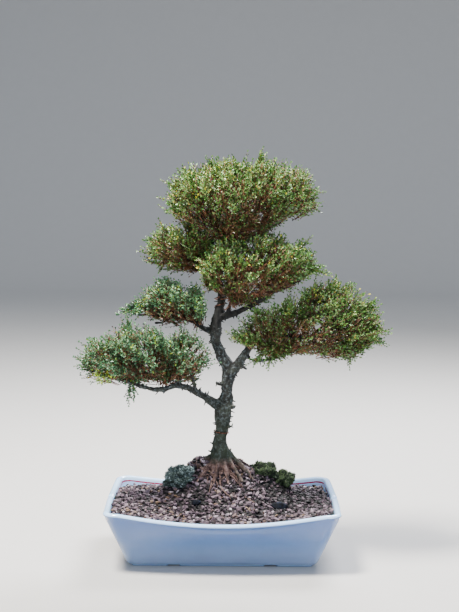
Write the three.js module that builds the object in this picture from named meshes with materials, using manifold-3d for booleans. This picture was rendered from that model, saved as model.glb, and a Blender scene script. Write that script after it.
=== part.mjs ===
// A small-leaved bonsai tree in a flared rectangular porcelain pot.
// Millimetres, +Z up. The origin is the centre of the pot's underside, and -Y is the front.
import * as THREE from 'three';
import { mergeVertices } from 'three/addons/utils/BufferGeometryUtils.js';
import Module from 'manifold-3d';

const wasm = await Module();
wasm.setup();

// Driving dimensions
const clearance = 0.35; // gap between two pieces that rest together

const pot = {
  rim: { halfLength: 121.5, halfWidth: 90, height: 62, corner: 15 },
  base: { halfLength: 99, halfWidth: 62.5, corner: 10 },
  foot: { inset: 5, height: 2.4 },
  longSide: { bulge: 7, dip: 8.5 },
  shortSide: { bulge: 2, dip: 2, notch: 2.5, notchReach: 0.03 },
  lipWidth: 6.5,
  lipThickness: 4,
  wallInset: 7,
  floor: { height: 7.5, fillet: 3 },
  drain: { radius: 8, offset: 50, grooveWidth: 12, grooveHeight: 1.6 },
};

const screen = { side: 26, thickness: 1, hole: 9, bar: 2.4, perSide: 2 };

const bed = {
  level: 50.5,
  endRise: { height: 5, reach: 105, lean: 3 / 80 }, // towards the short sides, and more at the front
  grain: 10,
  jitter: 2.8,
  relief: 1.5,
  bottom: pot.floor.height,
  headroom: 50,
};

// The mound round the trunk and its two shoulders: centre, height and reach
const mounds = [
  { x: -5, y: 2, height: 41, reachX: 60, reachY: 41 },
  { x: -28, y: 8, height: 14, reachX: 16, reachY: 15 },
  { x: 50, y: 15, height: 12, reachX: 26, reachY: 18 },
];

// Leaves are larger than life; a spray is a flat twig with pairs of leaves and one at its tip
const leaf = { length: 9.4, halfWidth: 3.9, footWidth: 2, thickness: 1, angle: 0.9, lift: 0.35, pitch: 5.8 };
const sideLeaf = {
  scale: [0.73, 0.86], halfWidth: 3.2, shift: [0.05, 0.3], turn: 0.15, cup: [-0.4, 1.3], broadest: 0.62,
};
const tipLeaf = { cup: 0.6, blunt: 0.4 };
const twigHalfWidth = 0.9;
const bareTwig = 1.6; // between the core and the first leaves
const shoot = { length: [22, 29], sunk: 3.2, upward: 0.5, spread: 0.35, gap: 12, twist: 0.9 };
const single = {
  length: 13, halfWidth: 4.7, thickness: 1.4, size: [0.85, 1.12], sunk: 2.4, upward: 0.3, spread: 0.95, gap: 8.5,
};
const coreInset = 5.5; // how far the leaves stand out of a head's core
const smallLobe = 50; // a lobe whose three reaches add up to less has fewer faces
const coreDetail = 2; // forms of a core finer than this are left out
const coreShape = {
  skin: { roughness: [0.84, 1.12], flatness: 0.92 },
  large: { detail: 1, radius: 1 },
  small: { detail: 0, radius: 1.12 },
};

// Seeded random draws
function randomSource(seed) {
  let state = seed;
  return () => {
    state = (state + 0x6d2b79f5) | 0;
    let t = Math.imul(state ^ (state >>> 15), 1 | state);
    t = (t + Math.imul(t ^ (t >>> 7), 61 | t)) ^ t;
    return ((t ^ (t >>> 14)) >>> 0) / 4294967296;
  };
}

const between = (random, low, high) => low + (high - low) * random();
const vector = (x, y, z) => new THREE.Vector3(x, y, z);

// Closed solids from three.js geometry, and back
function solidOf(geometry) {
  const bare = geometry.clone();
  for (const name of ['normal', 'uv']) {
    bare.deleteAttribute(name);
  }
  const merged = mergeVertices(bare, 1e-4);
  const vertProperties = new Float32Array(merged.attributes.position.array);
  const triVerts = new Uint32Array(merged.index.array);
  return new wasm.Manifold(new wasm.Mesh({ numProp: 3, vertProperties, triVerts }));
}

// Faces that all point inwards are turned round
function solidFromFaces(points, faces) {
  const volume = faces.reduce((sum, [a, b, c]) => sum + points[a].dot(points[b].clone().cross(points[c])), 0);
  const outward = volume > 0 ? faces : faces.map(([a, b, c]) => [a, c, b]);
  const geometry = new THREE.BufferGeometry();
  geometry.setAttribute('position', new THREE.Float32BufferAttribute(points.flatMap((p) => p.toArray()), 3));
  geometry.setIndex(outward.flat());
  return solidOf(geometry);
}

const joined = (solids) => solids.reduce((sum, solid) => sum.add(solid));

// The largest body of a solid: loose scraps and sealed hollows go
function mainBody(solid) {
  const bodies = solid.decompose();
  return bodies.reduce((best, body) => (body.volume() > best.volume() ? body : best));
}

function meshOf(solid, name, look) {
  const { vertProperties, triVerts } = mainBody(solid.simplify(0.02)).getMesh();
  const geometry = new THREE.BufferGeometry();
  geometry.setAttribute('position', new THREE.BufferAttribute(vertProperties, 3));
  geometry.setIndex(new THREE.BufferAttribute(triVerts, 1));
  geometry.computeVertexNormals();
  const mesh = new THREE.Mesh(geometry, new THREE.MeshStandardMaterial({ metalness: 0, ...look }));
  mesh.name = name;
  return mesh;
}

// A closed loft through rings with equal numbers of points
function loft(rings) {
  const count = rings[0].length;
  const points = rings.flat();
  const faces = [];
  for (let i = 0; i < rings.length - 1; i++) {
    for (let j = 0; j < count; j++) {
      const a = i * count + j;
      const b = i * count + ((j + 1) % count);
      faces.push([a, b, b + count], [a, b + count, a + count]);
    }
  }
  const middle = (ring) => ring.reduce((sum, p) => sum.add(p), vector(0, 0, 0)).divideScalar(count);
  const last = (rings.length - 1) * count;
  points.push(middle(rings[0]), middle(rings.at(-1)));
  for (let j = 0; j < count; j++) {
    const next = (j + 1) % count;
    faces.push([points.length - 2, next, j]);
    faces.push([points.length - 1, last + j, last + next]);
  }
  return solidFromFaces(points, faces);
}

// A rounded rectangle whose sides bulge outwards and dip downwards between the corners
const longSteps = [-0.66, -0.33, 0, 0.33, 0.66];
const shortSteps = [-0.6, -0.25, -0.06, 0, 0.06, 0.25, 0.6];
const cornerSteps = [0, 0.33, 0.67, 1];

function potRing({ halfLength, halfWidth, corner, height, shape }) {
  const points = [];
  const straightX = halfLength - corner;
  const straightY = halfWidth - corner;
  const addSide = (steps, place) => {
    for (const s of steps) {
      const { out, along, down } = place(s, 1 - s * s);
      points.push(vector(out, along, height - down * shape));
    }
  };
  const addCorner = (signX, signY, start) => {
    for (const s of cornerSteps) {
      const angle = start + (s * Math.PI) / 2;
      const x = signX * straightX + corner * Math.cos(angle);
      const y = signY * straightY + corner * Math.sin(angle);
      points.push(vector(x, y, height));
    }
  };
  const short = pot.shortSide;
  const long = pot.longSide;
  const notch = (s) => (Math.abs(s) < short.notchReach ? short.notch : 0);
  const shortPlace = (side) => (s, arch) => ({
    out: side * (halfLength + short.bulge * arch * shape),
    along: side * s * straightY,
    down: short.dip * arch + notch(s),
  });
  const longPlace = (side) => (s, arch) => ({
    out: -side * s * straightX,
    along: side * (halfWidth + long.bulge * arch * shape),
    down: long.dip * arch,
  });
  addSide(shortSteps, shortPlace(1));
  addCorner(1, 1, 0);
  addSide(longSteps, longPlace(1));
  addCorner(-1, 1, Math.PI / 2);
  addSide(shortSteps, shortPlace(-1));
  addCorner(-1, -1, Math.PI);
  addSide(longSteps, longPlace(-1));
  addCorner(1, -1, (3 * Math.PI) / 2);
  return points;
}

// A ring of the pot's outer face at a height given as a share of the flare, set in by some distance
function flareRing(share, inset, height = null) {
  const mix = (name) => THREE.MathUtils.lerp(pot.base[name], pot.rim[name], share);
  return potRing({
    halfLength: mix('halfLength') - inset,
    halfWidth: mix('halfWidth') - inset,
    corner: Math.max(mix('corner') - inset, 3),
    height: height ?? THREE.MathUtils.lerp(pot.foot.height, pot.rim.height - 2, share),
    shape: Math.max(share, 0) ** 1.3,
  });
}

function potBody() {
  const { rim, foot, lipWidth, lipThickness } = pot;
  const outside = [
    flareRing(0, foot.inset, 0),
    flareRing(0, foot.inset, foot.height),
    flareRing(0, 1.2, foot.height),
    flareRing(0.06, 0),
    flareRing(0.4, 0),
    flareRing(0.75, 0),
    flareRing(0.95, 0, rim.height - lipThickness),
    flareRing(1, 0, rim.height - 1.2),
  ];
  const lip = [
    flareRing(1, 1.6, rim.height),
    flareRing(1, lipWidth - 1.6, rim.height - 0.2),
  ];
  return loft([...outside, ...lip, ...cavityRings(0)]);
}

// The rings of the inner wall, from the lip down to the floor, set in by a gap
function cavityRings(gap) {
  const { rim, lipWidth, lipThickness, wallInset, floor } = pot;
  return [
    flareRing(1, lipWidth + gap, rim.height - 1.4),
    flareRing(0.95, wallInset - 1 + gap, rim.height - lipThickness),
    flareRing(0.55, wallInset + gap),
    flareRing(0.14, wallInset + gap, floor.height + floor.fillet + gap),
    flareRing(0.05, wallInset + floor.fillet + gap, floor.height + gap),
  ];
}

// The room inside the pot, open upwards
function soilRoom() {
  const above = flareRing(1, pot.lipWidth + clearance, pot.rim.height + bed.headroom);
  return loft([above, ...cavityRings(clearance)]);
}

function makePot() {
  const { drain } = pot;
  let body = potBody();
  for (const side of [-1, 1]) {
    const hole = new THREE.CylinderGeometry(drain.radius, drain.radius, 40, 20);
    hole.rotateX(Math.PI / 2);
    hole.translate(side * drain.offset, 0, 0);
    const groove = new THREE.BoxGeometry(drain.grooveWidth, 200, 2 * drain.grooveHeight);
    groove.translate(side * drain.offset, 0, 0);
    body = body.subtract(solidOf(hole)).subtract(solidOf(groove));
  }
  return body;
}

// Drainage screens: a plate with square holes, or the plain room that it takes up
function screenPlate(side, grow) {
  const width = screen.side + 2 * grow;
  const plate = new THREE.BoxGeometry(width, width, screen.thickness + 2 * grow);
  plate.translate(side * pot.drain.offset, 0, pot.floor.height + clearance + screen.thickness / 2);
  return solidOf(plate);
}

function makeScreen(side) {
  const pitch = screen.hole + screen.bar;
  const middle = (screen.perSide - 1) / 2;
  let plate = screenPlate(side, 0);
  for (let i = 0; i < screen.perSide ** 2; i++) {
    const x = side * pot.drain.offset + ((i % screen.perSide) - middle) * pitch;
    const y = (Math.floor(i / screen.perSide) - middle) * pitch;
    const hole = new THREE.BoxGeometry(screen.hole, screen.hole, 10 * screen.thickness);
    hole.translate(x, y, pot.floor.height);
    plate = plate.subtract(solidOf(hole));
  }
  return plate;
}

// Height of the gravel, without its grains
function soilHeight(x, y) {
  const rise = bed.endRise.height - bed.endRise.lean * y;
  let height = bed.level + rise * (x / bed.endRise.reach) ** 2;
  for (const m of mounds) {
    height += m.height * Math.exp(-(((x - m.x) / m.reachX) ** 2) - ((y - m.y) / m.reachY) ** 2);
  }
  return height;
}

// A block whose top is a bed of jittered grains, raised by some distance
function grainBlock(raise) {
  const random = randomSource(11);
  const stepsX = Math.round((2 * pot.rim.halfLength + 10) / bed.grain);
  const stepsY = Math.round((2 * pot.rim.halfWidth + 20) / bed.grain);
  const points = [];
  const faces = [];
  const at = (i, j) => i * (stepsY + 1) + j;
  for (let i = 0; i <= stepsX; i++) {
    for (let j = 0; j <= stepsY; j++) {
      const x = (i - stepsX / 2) * bed.grain + between(random, -bed.jitter, bed.jitter);
      const y = (j - stepsY / 2) * bed.grain + between(random, -bed.jitter, bed.jitter);
      const relief = between(random, -bed.relief, bed.relief);
      points.push(vector(x, y, soilHeight(x, y) + relief + raise));
    }
  }
  for (let i = 0; i < stepsX; i++) {
    for (let j = 0; j < stepsY; j++) {
      const [a, b, c, d] = [at(i, j), at(i + 1, j), at(i + 1, j + 1), at(i, j + 1)];
      if ((i + j) % 2 === 0) {
        faces.push([a, b, c], [a, c, d]);
      } else {
        faces.push([a, b, d], [b, c, d]);
      }
    }
  }
  const upTo = (count) => Array.from({ length: count }, (_, i) => i);
  const border = [
    ...upTo(stepsX).map((i) => at(i, 0)),
    ...upTo(stepsY).map((j) => at(stepsX, j)),
    ...upTo(stepsX).map((i) => at(stepsX - i, stepsY)),
    ...upTo(stepsY).map((j) => at(0, stepsY - j)),
  ];
  const lower = points.length;
  for (const index of border) {
    points.push(vector(points[index].x, points[index].y, bed.bottom));
  }
  const centre = points.length;
  points.push(vector(0, 0, bed.bottom));
  border.forEach((index, k) => {
    const next = (k + 1) % border.length;
    faces.push([lower + k, lower + next, border[next]], [lower + k, border[next], index]);
    faces.push([centre, lower + next, lower + k]);
  });
  return solidFromFaces(points, faces);
}

// Wood: each stretch is a route of points [x, y, z, radius]
const trunkRoute = [
  [-3, 2, 64, 14], [-3, 1, 80, 15.5], [-3, 0, 91, 13.5], [-3, -1, 101, 10.9], [-3, -1, 112, 9.3],
  [-3, -1, 120, 8.6], [-2, -1, 128, 6.3], [-2, -1, 133, 6.1], [0, 0, 139, 8], [-1, 0, 147, 9],
  [0, 0, 156, 9.6], [4, 1, 165, 6.6], [4, 2, 172, 6.3], [4, 3, 182, 6.9], [6, 3, 192, 8], [5, 3, 200, 7.5],
  [2, 2, 206, 6.4], [-2, 1, 212, 5.7], [-6, 0, 221, 5.4], [-9, 0, 230, 5.2], [-9, 0, 239, 5.9],
  [-8, 1, 248, 6.2], [-5, 2, 257, 5.2], [-4, 3, 265, 4.1], [-3, 3, 274, 3.6], [-4, 3, 286, 3.1],
  [-6, 4, 298, 2.9], [-8, 4, 311, 2.6], [-6, 4, 323, 2.5], [2, 4, 333, 2.4], [10, 3, 345, 2.2],
  [15, 2, 360, 2], [17, 0, 376, 1.7],
];

const limbs = [
  // lower left limb, with the knee branch that climbs from it
  [[0, 0, 153, 6], [-12, -3, 163, 4.6], [-20, -6, 169, 4.2], [-31, -10, 176, 3.7], [-41, -13, 181, 3.6],
    [-50, -16, 183, 3.7], [-58, -18, 180, 3.1], [-67, -20, 178, 2.7], [-78, -22, 180, 2.5],
    [-90, -24, 184, 2.2], [-103, -25, 188, 2], [-117, -23, 195, 1.7], [-129, -20, 203, 1.5]],
  [[-46, -15, 182, 3.2], [-49, -14, 193, 2.5], [-55, -10, 203, 2.1], [-63, -5, 214, 1.7]],
  [[-88, -24, 183, 1.8], [-94, -14, 190, 1.6], [-97, -9, 199, 1.5]],
  [[-28, -9, 174, 1.9], [-32, -15, 187, 1.6], [-35, -18, 200, 1.5]],
  // right limb and the two branches under it
  [[5, 3, 188, 6], [13, 0, 199, 5.6], [21, -4, 212, 4.6], [27, -8, 222, 4], [32, -11, 231, 3.5],
    [41, -14, 236, 3], [54, -16, 239, 2.7], [72, -18, 236, 2.5], [91, -18, 235, 2.2],
    [112, -16, 239, 1.9], [133, -12, 245, 1.6]],
  [[22, -4, 214, 2.8], [29, -8, 210, 2.3], [37, -11, 209, 2.1], [46, -14, 210, 2], [57, -17, 214, 1.9],
    [74, -20, 222, 1.7], [88, -21, 228, 1.5]],
  [[90, -18, 235, 1.8], [102, -26, 246, 1.6], [110, -30, 258, 1.5]],
  [[54, -16, 239, 1.9], [62, 0, 246, 1.7], [72, 12, 256, 1.5]],
  // middle left branch, its dead stub and its long thin twig
  [[-8, 1, 238, 4.2], [-17, 3, 239, 3.2], [-24, 4, 242, 2.9], [-31, 6, 248, 2.6], [-37, 7, 251, 2.4],
    [-51, 8, 251, 2.2], [-65, 8, 252, 1.9], [-77, 7, 256, 1.5], [-86, 5, 254, 1.2], [-94, 4, 256, 1.1],
    [-98, 3, 264, 1]],
  [[-37, 7, 251, 1.9], [-41, 10, 259, 1.7], [-45, 12, 268, 1.5]],
  [[-60, 8, 251, 1.7], [-67, 4, 246, 1.4], [-73, 2, 247, 1.2]],
  // centre right branch and the one that climbs beside it
  [[-5, 2, 252, 4.4], [4, -6, 256, 3.4], [13, -12, 260, 3], [21, -16, 264, 2.8], [30, -20, 269, 2.6],
    [40, -24, 276, 2.3], [53, -27, 284, 2.1], [67, -29, 290, 1.8], [80, -30, 296, 1.5]],
  [[4, -7, 257, 2.3], [5, -10, 265, 1.9], [8, -13, 273, 1.8], [13, -17, 284, 1.7], [20, -20, 298, 1.5]],
  // upper left branch
  [[-7, 4, 304, 2.4], [-16, 7, 311, 2.1], [-25, 10, 315, 2], [-38, 12, 317, 1.8], [-53, 13, 318, 1.6],
    [-66, 12, 322, 1.4]],
  // branches that carry the crown
  [[-7, 4, 319, 2.1], [-14, 1, 336, 1.8], [-22, -3, 354, 1.6], [-29, -5, 370, 1.4]],
  [[4, 4, 336, 2], [24, 5, 346, 1.8], [46, 6, 360, 1.6], [64, 6, 374, 1.4]],
  [[11, 3, 346, 1.8], [25, -6, 358, 1.6], [40, -11, 378, 1.4]],
  [[12, 3, 350, 1.8], [5, 18, 362, 1.6], [0, 30, 380, 1.4]],
];

const thickLimb = 3; // a limb that starts thicker than this gets one more side

// Broken stubs on the trunk and the limbs
const stubs = [
  [[2, -2, 156, 2.4], [9, -6, 158, 2], [13, -9, 160, 1.4]],
  [[0, -2, 136, 2.6], [6, -6, 137, 2], [10, -8, 138, 1.3]],
  [[-4, -1, 107, 2.6], [-12, -4, 109, 2], [-16, -6, 111, 1.4]],
  [[-3, -1, 128, 2.2], [-8, -5, 130, 1.7], [-11, -7, 131, 1.2]],
  [[3, 3, 181, 2.8], [-4, -3, 182, 2.2], [-8, -6, 184, 1.4]],
  [[16, -2, 204, 2.2], [22, -7, 201, 1.7], [25, -9, 199, 1.2]],
];

// Roots that leave the trunk and run over the mound
const roots = [
  [[3, 0, 111, 3.8], [9, 0, 105, 3.2], [15, -1, 98.5, 2.8], [21, -2, 92.5, 2.6], [27, -4, 86, 2.3],
    [34, -6, 77, 2]],
  [[-4, -6, 108, 3.2], [-5, -10, 101, 2.4], [-6, -14, 95, 2], [-7, -19, 88, 1.8], [-10, -26, 77, 1.5]],
  [[-8, -3, 103, 3.4], [-14, -8, 95, 2.6], [-21, -13, 87, 2.2], [-28, -18, 78, 1.8]],
  [[2, -5, 104, 3], [2, -11, 96, 2.3], [4, -17, 89, 2], [6, -25, 79, 1.6]],
  [[5, -4, 103, 3.2], [9, -9, 96, 2.5], [15, -14, 89, 2.1], [21, -20, 80, 1.7]],
  [[-10, 2, 105, 4.2], [-19, 3, 98, 3.2], [-28, 3, 90, 2.6], [-38, 1, 78, 2]],
  [[4, 7, 104, 3.8], [13, 13, 96, 2.9], [22, 19, 87, 2.3], [31, 25, 75, 1.8]],
  [[-4, 9, 105, 4], [-6, 18, 96, 3], [-8, 27, 86, 2.4], [-11, 36, 73, 1.8]],
  [[-9, 6, 103, 3.4], [-18, 14, 94, 2.6], [-27, 21, 85, 2.1], [-36, 28, 73, 1.7]],
];

function routeCurve(route) {
  return new THREE.CatmullRomCurve3(route.map(([x, y, z]) => vector(x, y, z)), false, 'centripetal');
}

// Rings round a route: parallel frames, and a slow wave in the radius for the bark's lumps
function routeRings(route, { sides, step, lumps, grow, seed }) {
  const random = randomSource(seed);
  const curve = routeCurve(route);
  const spans = route.length - 1;
  const count = Math.max(2, Math.round(curve.getLength() / step));
  const rings = [];
  let side = vector(1, 0, 0);
  const phase = Array.from({ length: 3 }, () => between(random, 0, 2 * Math.PI));
  for (let i = 0; i <= count; i++) {
    const u = curve.getUtoTmapping(i / count);
    const centre = curve.getPoint(u);
    const along = curve.getTangent(u);
    side = side.clone().addScaledVector(along, -side.dot(along)).normalize();
    const across = along.clone().cross(side);
    const k = Math.min(Math.floor(u * spans), spans - 1);
    const radius = THREE.MathUtils.lerp(route[k][3], route[k + 1][3], u * spans - k);
    const endwards = (i === count) - (i === 0);
    centre.addScaledVector(along, endwards * grow);
    rings.push(Array.from({ length: sides }, (_, j) => {
      const angle = (j / sides) * 2 * Math.PI;
      const wave = Math.sin(2 * angle + phase[0] + i * 0.9) + Math.sin(3 * angle + phase[1] - i * 1.3);
      const reach = radius * (1 + lumps * wave) + grow;
      return centre.clone()
        .addScaledVector(side, reach * Math.cos(angle))
        .addScaledVector(across, reach * Math.sin(angle));
    }));
  }
  return rings;
}

// How the stretches of each kind are made: sides round them, and the distance from ring to ring
const woodKinds = [
  { routes: [trunkRoute], sides: 9, step: 9, lumps: 0.045, seed: 3 },
  { routes: limbs.filter((route) => route[0][3] > thickLimb), sides: 6, step: 12, lumps: 0.04, seed: 20 },
  { routes: limbs.filter((route) => route[0][3] <= thickLimb), sides: 5, step: 12, lumps: 0.04, seed: 40 },
  { routes: stubs, sides: 5, step: 5, lumps: 0.05, seed: 60 },
  { routes: roots, sides: 5, step: 10, lumps: 0.06, seed: 80 },
];

function woodSolid(grow) {
  const parts = woodKinds.flatMap(({ routes, seed, ...look }) => (
    routes.map((route, i) => loft(routeRings(route, { ...look, grow, seed: seed + i })))));
  return joined(parts);
}

// Foliage heads: lobes [x, y, z, reach along X, Y and Z], and long shoots [x, y, z of the tip]
const heads = [
  {
    name: 'foliage_top', colour: 0x6d7a35, seed: 101, singles: 32, shoots: 5,
    lobes: [[17, 0, 376, 55, 50, 37], [-29, -5, 382, 33, 36, 28], [68, 5, 382, 31, 34, 28],
      [-2, 17, 396, 36, 34, 22], [44, -12, 394, 36, 34, 23], [12, -6, 354, 38, 34, 18]],
    tips: [[41, -2, 431], [53, 0, 421], [73, 2, 412], [88, 4, 397], [-63, -6, 395], [-41, -4, 411],
      [-19, 8, 423], [2, 6, 421], [98, 0, 368]],
  },
  {
    name: 'foliage_center_right', colour: 0x66702f, seed: 102, singles: 18, shoots: 4,
    lobes: [[28, -30, 305, 38, 32, 25], [-2, -28, 303, 25, 24, 18], [66, -28, 311, 29, 28, 21],
      [30, -30, 289, 25, 24, 12], [46, -26, 318, 30, 26, 14], [6, -18, 320, 22, 22, 15]],
    tips: [[87, -28, 339], [109, -26, 304]],
  },
  {
    name: 'foliage_upper_left', colour: 0x5c6c34, seed: 103, singles: 10, shoots: 2,
    lobes: [[-55, 13, 327, 28, 27, 22], [-30, 14, 324, 18, 20, 17], [-47, 10, 316, 20, 22, 13]],
    tips: [[-84, 12, 336], [-70, 8, 301]],
  },
  {
    name: 'foliage_mid_left', colour: 0x57702f, seed: 104, singles: 10, shoots: 3,
    lobes: [[-63, 8, 270, 28, 28, 19], [-36, 9, 268, 17, 19, 17], [-60, 8, 280, 19, 20, 13]],
    tips: [[-106, 3, 263]],
  },
  {
    name: 'foliage_right', colour: 0x5f7034, seed: 105, singles: 24, shoots: 4,
    lobes: [[99, -14, 247, 46, 40, 29], [54, -14, 250, 29, 28, 21], [134, -8, 246, 34, 34, 27],
      [112, -8, 268, 36, 34, 24], [127, -12, 224, 28, 26, 15], [54, -18, 227, 21, 20, 17],
      [28, -14, 241, 20, 17, 13]],
    tips: [[117, -8, 297], [157, -8, 273], [171, -10, 242], [170, -12, 226], [132, -12, 203]],
  },
  {
    name: 'foliage_lower_left', colour: 0x4f7242, seed: 106, singles: 20, shoots: 5,
    lobes: [[-93, -18, 215, 40, 37, 27], [-125, -14, 208, 28, 28, 26], [-48, -14, 214, 29, 27, 23],
      [-98, -14, 231, 32, 30, 18], [-35, -18, 202, 19, 18, 13]],
    tips: [[-152, -16, 204], [-103, -14, 252], [-41, -12, 244], [-100, -26, 167]],
  },
];

// The reach of a lobe along an axis, set in by some distance but by less where the lobe is small
const insetReach = (reach, inset) => reach - Math.min(inset, 0.3 * reach);

// How deep a point lies in a lobe: 0 at its middle, 1 on its skin
function lobeDepth([x, y, z, rx, ry, rz], p, inset) {
  const [a, b, c] = [rx, ry, rz].map((reach) => insetReach(reach, inset));
  return Math.hypot((p.x - x) / a, (p.y - y) / b, (p.z - z) / c);
}

const headDepth = (head, p, inset) => Math.min(...head.lobes.map((lobe) => lobeDepth(lobe, p, inset)));

// A point belongs to a head where no other head reaches it
function belongs(head, p) {
  const own = headDepth(head, p, 0);
  return heads.every((other) => other === head || headDepth(other, p, 0) > Math.max(own, 0.6) + 0.18);
}

// A ball with a rough skin, stretched to its reaches and flatter below its middle
function roughBall([x, y, z], [a, b, c], { detail, radius, roughness, flatness, seed }) {
  const random = randomSource(seed);
  const ball = new THREE.IcosahedronGeometry(radius, detail);
  ball.deleteAttribute('normal');
  ball.deleteAttribute('uv');
  const geometry = mergeVertices(ball, 1e-4);
  const place = geometry.attributes.position;
  for (let i = 0; i < place.count; i++) {
    const p = new THREE.Vector3().fromBufferAttribute(place, i);
    p.multiplyScalar(between(random, ...roughness));
    const flat = p.z < 0 ? flatness : 1;
    place.setXYZ(i, x + p.x * a, y + p.y * b, z + p.z * c * flat);
  }
  return solidOf(geometry);
}

function lobeCore([x, y, z, ...reaches], seed) {
  const inner = reaches.map((reach) => insetReach(reach, coreInset));
  const small = inner[0] + inner[1] + inner[2] < smallLobe;
  return roughBall([x, y, z], inner, { ...(small ? coreShape.small : coreShape.large), ...coreShape.skin, seed });
}

// A leafy shoot as one blade: its outline runs round every leaf, and the leaves cup and turn.
// Its twig starts bare, inside the core.
function leafyShoot(foot, tip, facing, random) {
  const root = shoot.sunk + bareTwig;
  const along = tip.clone().sub(foot);
  const length = along.length();
  along.normalize();
  const side = along.clone().cross(facing).normalize();
  const up = side.clone().cross(along).normalize();
  const half = { right: [[0, twigHalfWidth, 0]], left: [[0, -twigHalfWidth, 0]] };
  const leafy = length - root - leaf.length;
  const pairs = Math.max(1, Math.floor(leafy / leaf.pitch));
  const pitch = leafy / pairs;
  for (let i = 0; i < pairs; i++) {
    for (const [name, sign] of [['right', 1], ['left', -1]]) {
      const start = root + pitch * (i + between(random, ...sideLeaf.shift));
      const reach = leaf.length * between(random, ...sideLeaf.scale);
      const angle = leaf.angle + between(random, -sideLeaf.turn, sideLeaf.turn);
      const lift = reach * leaf.lift * between(random, ...sideLeaf.cup);
      const at = (l, w) => [
        start + l * reach * Math.cos(angle) - w * sideLeaf.halfWidth * Math.sin(angle),
        sign * (twigHalfWidth + l * reach * Math.sin(angle) + w * sideLeaf.halfWidth * Math.cos(angle)),
        lift * l,
      ];
      const end = [start + leaf.footWidth, sign * twigHalfWidth, 0];
      half[name].push(at(sideLeaf.broadest, 1), at(1, -0.25), end);
    }
  }
  const end = length - leaf.length;
  const droop = leaf.length * leaf.lift * between(random, -tipLeaf.cup, tipLeaf.cup);
  for (const [name, sign] of [['right', 1], ['left', -1]]) {
    half[name].push([end + leaf.length / 2, sign * leaf.halfWidth, droop / 2]);
    half[name].push([length, sign * leaf.halfWidth * tipLeaf.blunt, droop]);
  }
  const outline = [...half.left, ...half.right.reverse()];
  const flat = outline.map(([l, w]) => new THREE.Vector2(l, w));
  const turn = between(random, -shoot.twist, shoot.twist);
  const place = ([l, w, t], offset) => {
    const angle = (turn * l) / length;
    const across = side.clone().applyAxisAngle(along, angle);
    const normal = up.clone().applyAxisAngle(along, angle);
    return foot.clone()
      .addScaledVector(along, l)
      .addScaledVector(across, w)
      .addScaledVector(normal, t + offset);
  };
  const upper = outline.map((point) => place(point, leaf.thickness / 2));
  const lower = outline.map((point) => place(point, -leaf.thickness / 2));
  const count = outline.length;
  const faces = [];
  for (const [a, b, c] of THREE.ShapeUtils.triangulateShape(flat, [])) {
    faces.push([a, b, c], [a + count, c + count, b + count]);
  }
  for (let i = 0; i < count; i++) {
    const next = (i + 1) % count;
    faces.push([next, i, i + count], [next, i + count, next + count]);
  }
  return solidFromFaces([...upper, ...lower], faces);
}

// A single rounded leaf, broadest past its middle and thickest along its midrib
function singleLeaf(foot, along, facing, size) {
  const across = along.clone().cross(facing).normalize();
  const up = across.clone().cross(along).normalize();
  const at = (l, w, t) => foot.clone()
    .addScaledVector(along, l * single.length * size)
    .addScaledVector(across, w * single.halfWidth * size)
    .addScaledVector(up, t * single.thickness);
  const outline = [at(0, 0, 0), at(0.55, 1, 0), at(0.97, 0.45, 0), at(0.97, -0.45, 0), at(0.55, -1, 0)];
  const faces = [];
  for (let i = 0; i < outline.length; i++) {
    const next = (i + 1) % outline.length;
    faces.push([5, next, i], [6, i, next]);
  }
  return solidFromFaces([...outline, at(0.55, 0, 0.5), at(0.55, 0, -0.5)], faces);
}

function direction(random) {
  const z = between(random, -1, 1);
  const angle = between(random, 0, 2 * Math.PI);
  const r = Math.sqrt(1 - z * z);
  return vector(r * Math.cos(angle), r * Math.sin(angle), z);
}

// A place on the outside of a head's core, with the way out of it, clear of the places taken so far:
// a ray from outside towards the middle of a lobe meets the core there
const ray = new THREE.Raycaster();
const rayStart = 150;

function placeOnCore(head, surface, kind, taken, random) {
  for (let tries = 0; tries < 100; tries++) {
    const middle = vector(...head.lobes[Math.floor(random() * head.lobes.length)].slice(0, 3));
    const inward = direction(random);
    ray.set(middle.addScaledVector(inward, -rayStart), inward);
    const [hit] = ray.intersectObject(surface);
    const out = hit.face.normal.clone();
    const outer = hit.point.clone().addScaledVector(out, coreInset);
    const room = taken.every((other) => other.distanceTo(outer) > kind.gap);
    if (room && belongs(head, outer) && belongs(head, hit.point)) {
      taken.push(outer);
      return { p: hit.point, out };
    }
  }
  return null;
}

// The way that a leaf or a shoot takes: outwards, with some spread, and turned upwards a little
function growthWay(place, kind, random) {
  return place.out.clone()
    .addScaledVector(direction(random), kind.spread)
    .addScaledVector(vector(0, 0, 1), kind.upward)
    .normalize();
}

function growShoot(head, surface, taken, random) {
  const place = placeOnCore(head, surface, shoot, taken, random);
  if (!place) return null;
  const along = growthWay(place, shoot, random);
  const foot = place.p.clone().addScaledVector(place.out, -shoot.sunk);
  const tip = foot.clone().addScaledVector(along, between(random, ...shoot.length));
  return belongs(head, tip) ? leafyShoot(foot, tip, direction(random), random) : null;
}

function growLeaf(head, surface, taken, random) {
  const place = placeOnCore(head, surface, single, taken, random);
  if (!place) return null;
  const foot = place.p.clone().addScaledVector(place.out, -single.sunk);
  const along = growthWay(place, single, random);
  const size = between(random, ...single.size);
  const tip = foot.clone().addScaledVector(along, single.length * size);
  return belongs(head, tip) ? singleLeaf(foot, along, direction(random), size) : null;
}

// A long shoot from the core to a stated tip
function longShoot(head, tip, random) {
  const end = vector(...tip);
  const nearest = head.lobes.reduce((best, lobe) => (
    lobeDepth(lobe, end, coreInset) < lobeDepth(best, end, coreInset) ? lobe : best));
  const middle = vector(...nearest.slice(0, 3));
  const reach = end.distanceTo(middle) * (1 - 0.85 / lobeDepth(nearest, end, coreInset));
  const way = end.clone().sub(middle).normalize();
  const foot = end.clone().addScaledVector(way, -Math.max(reach, shoot.length[0]));
  return leafyShoot(foot, end, direction(random), random);
}

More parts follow.
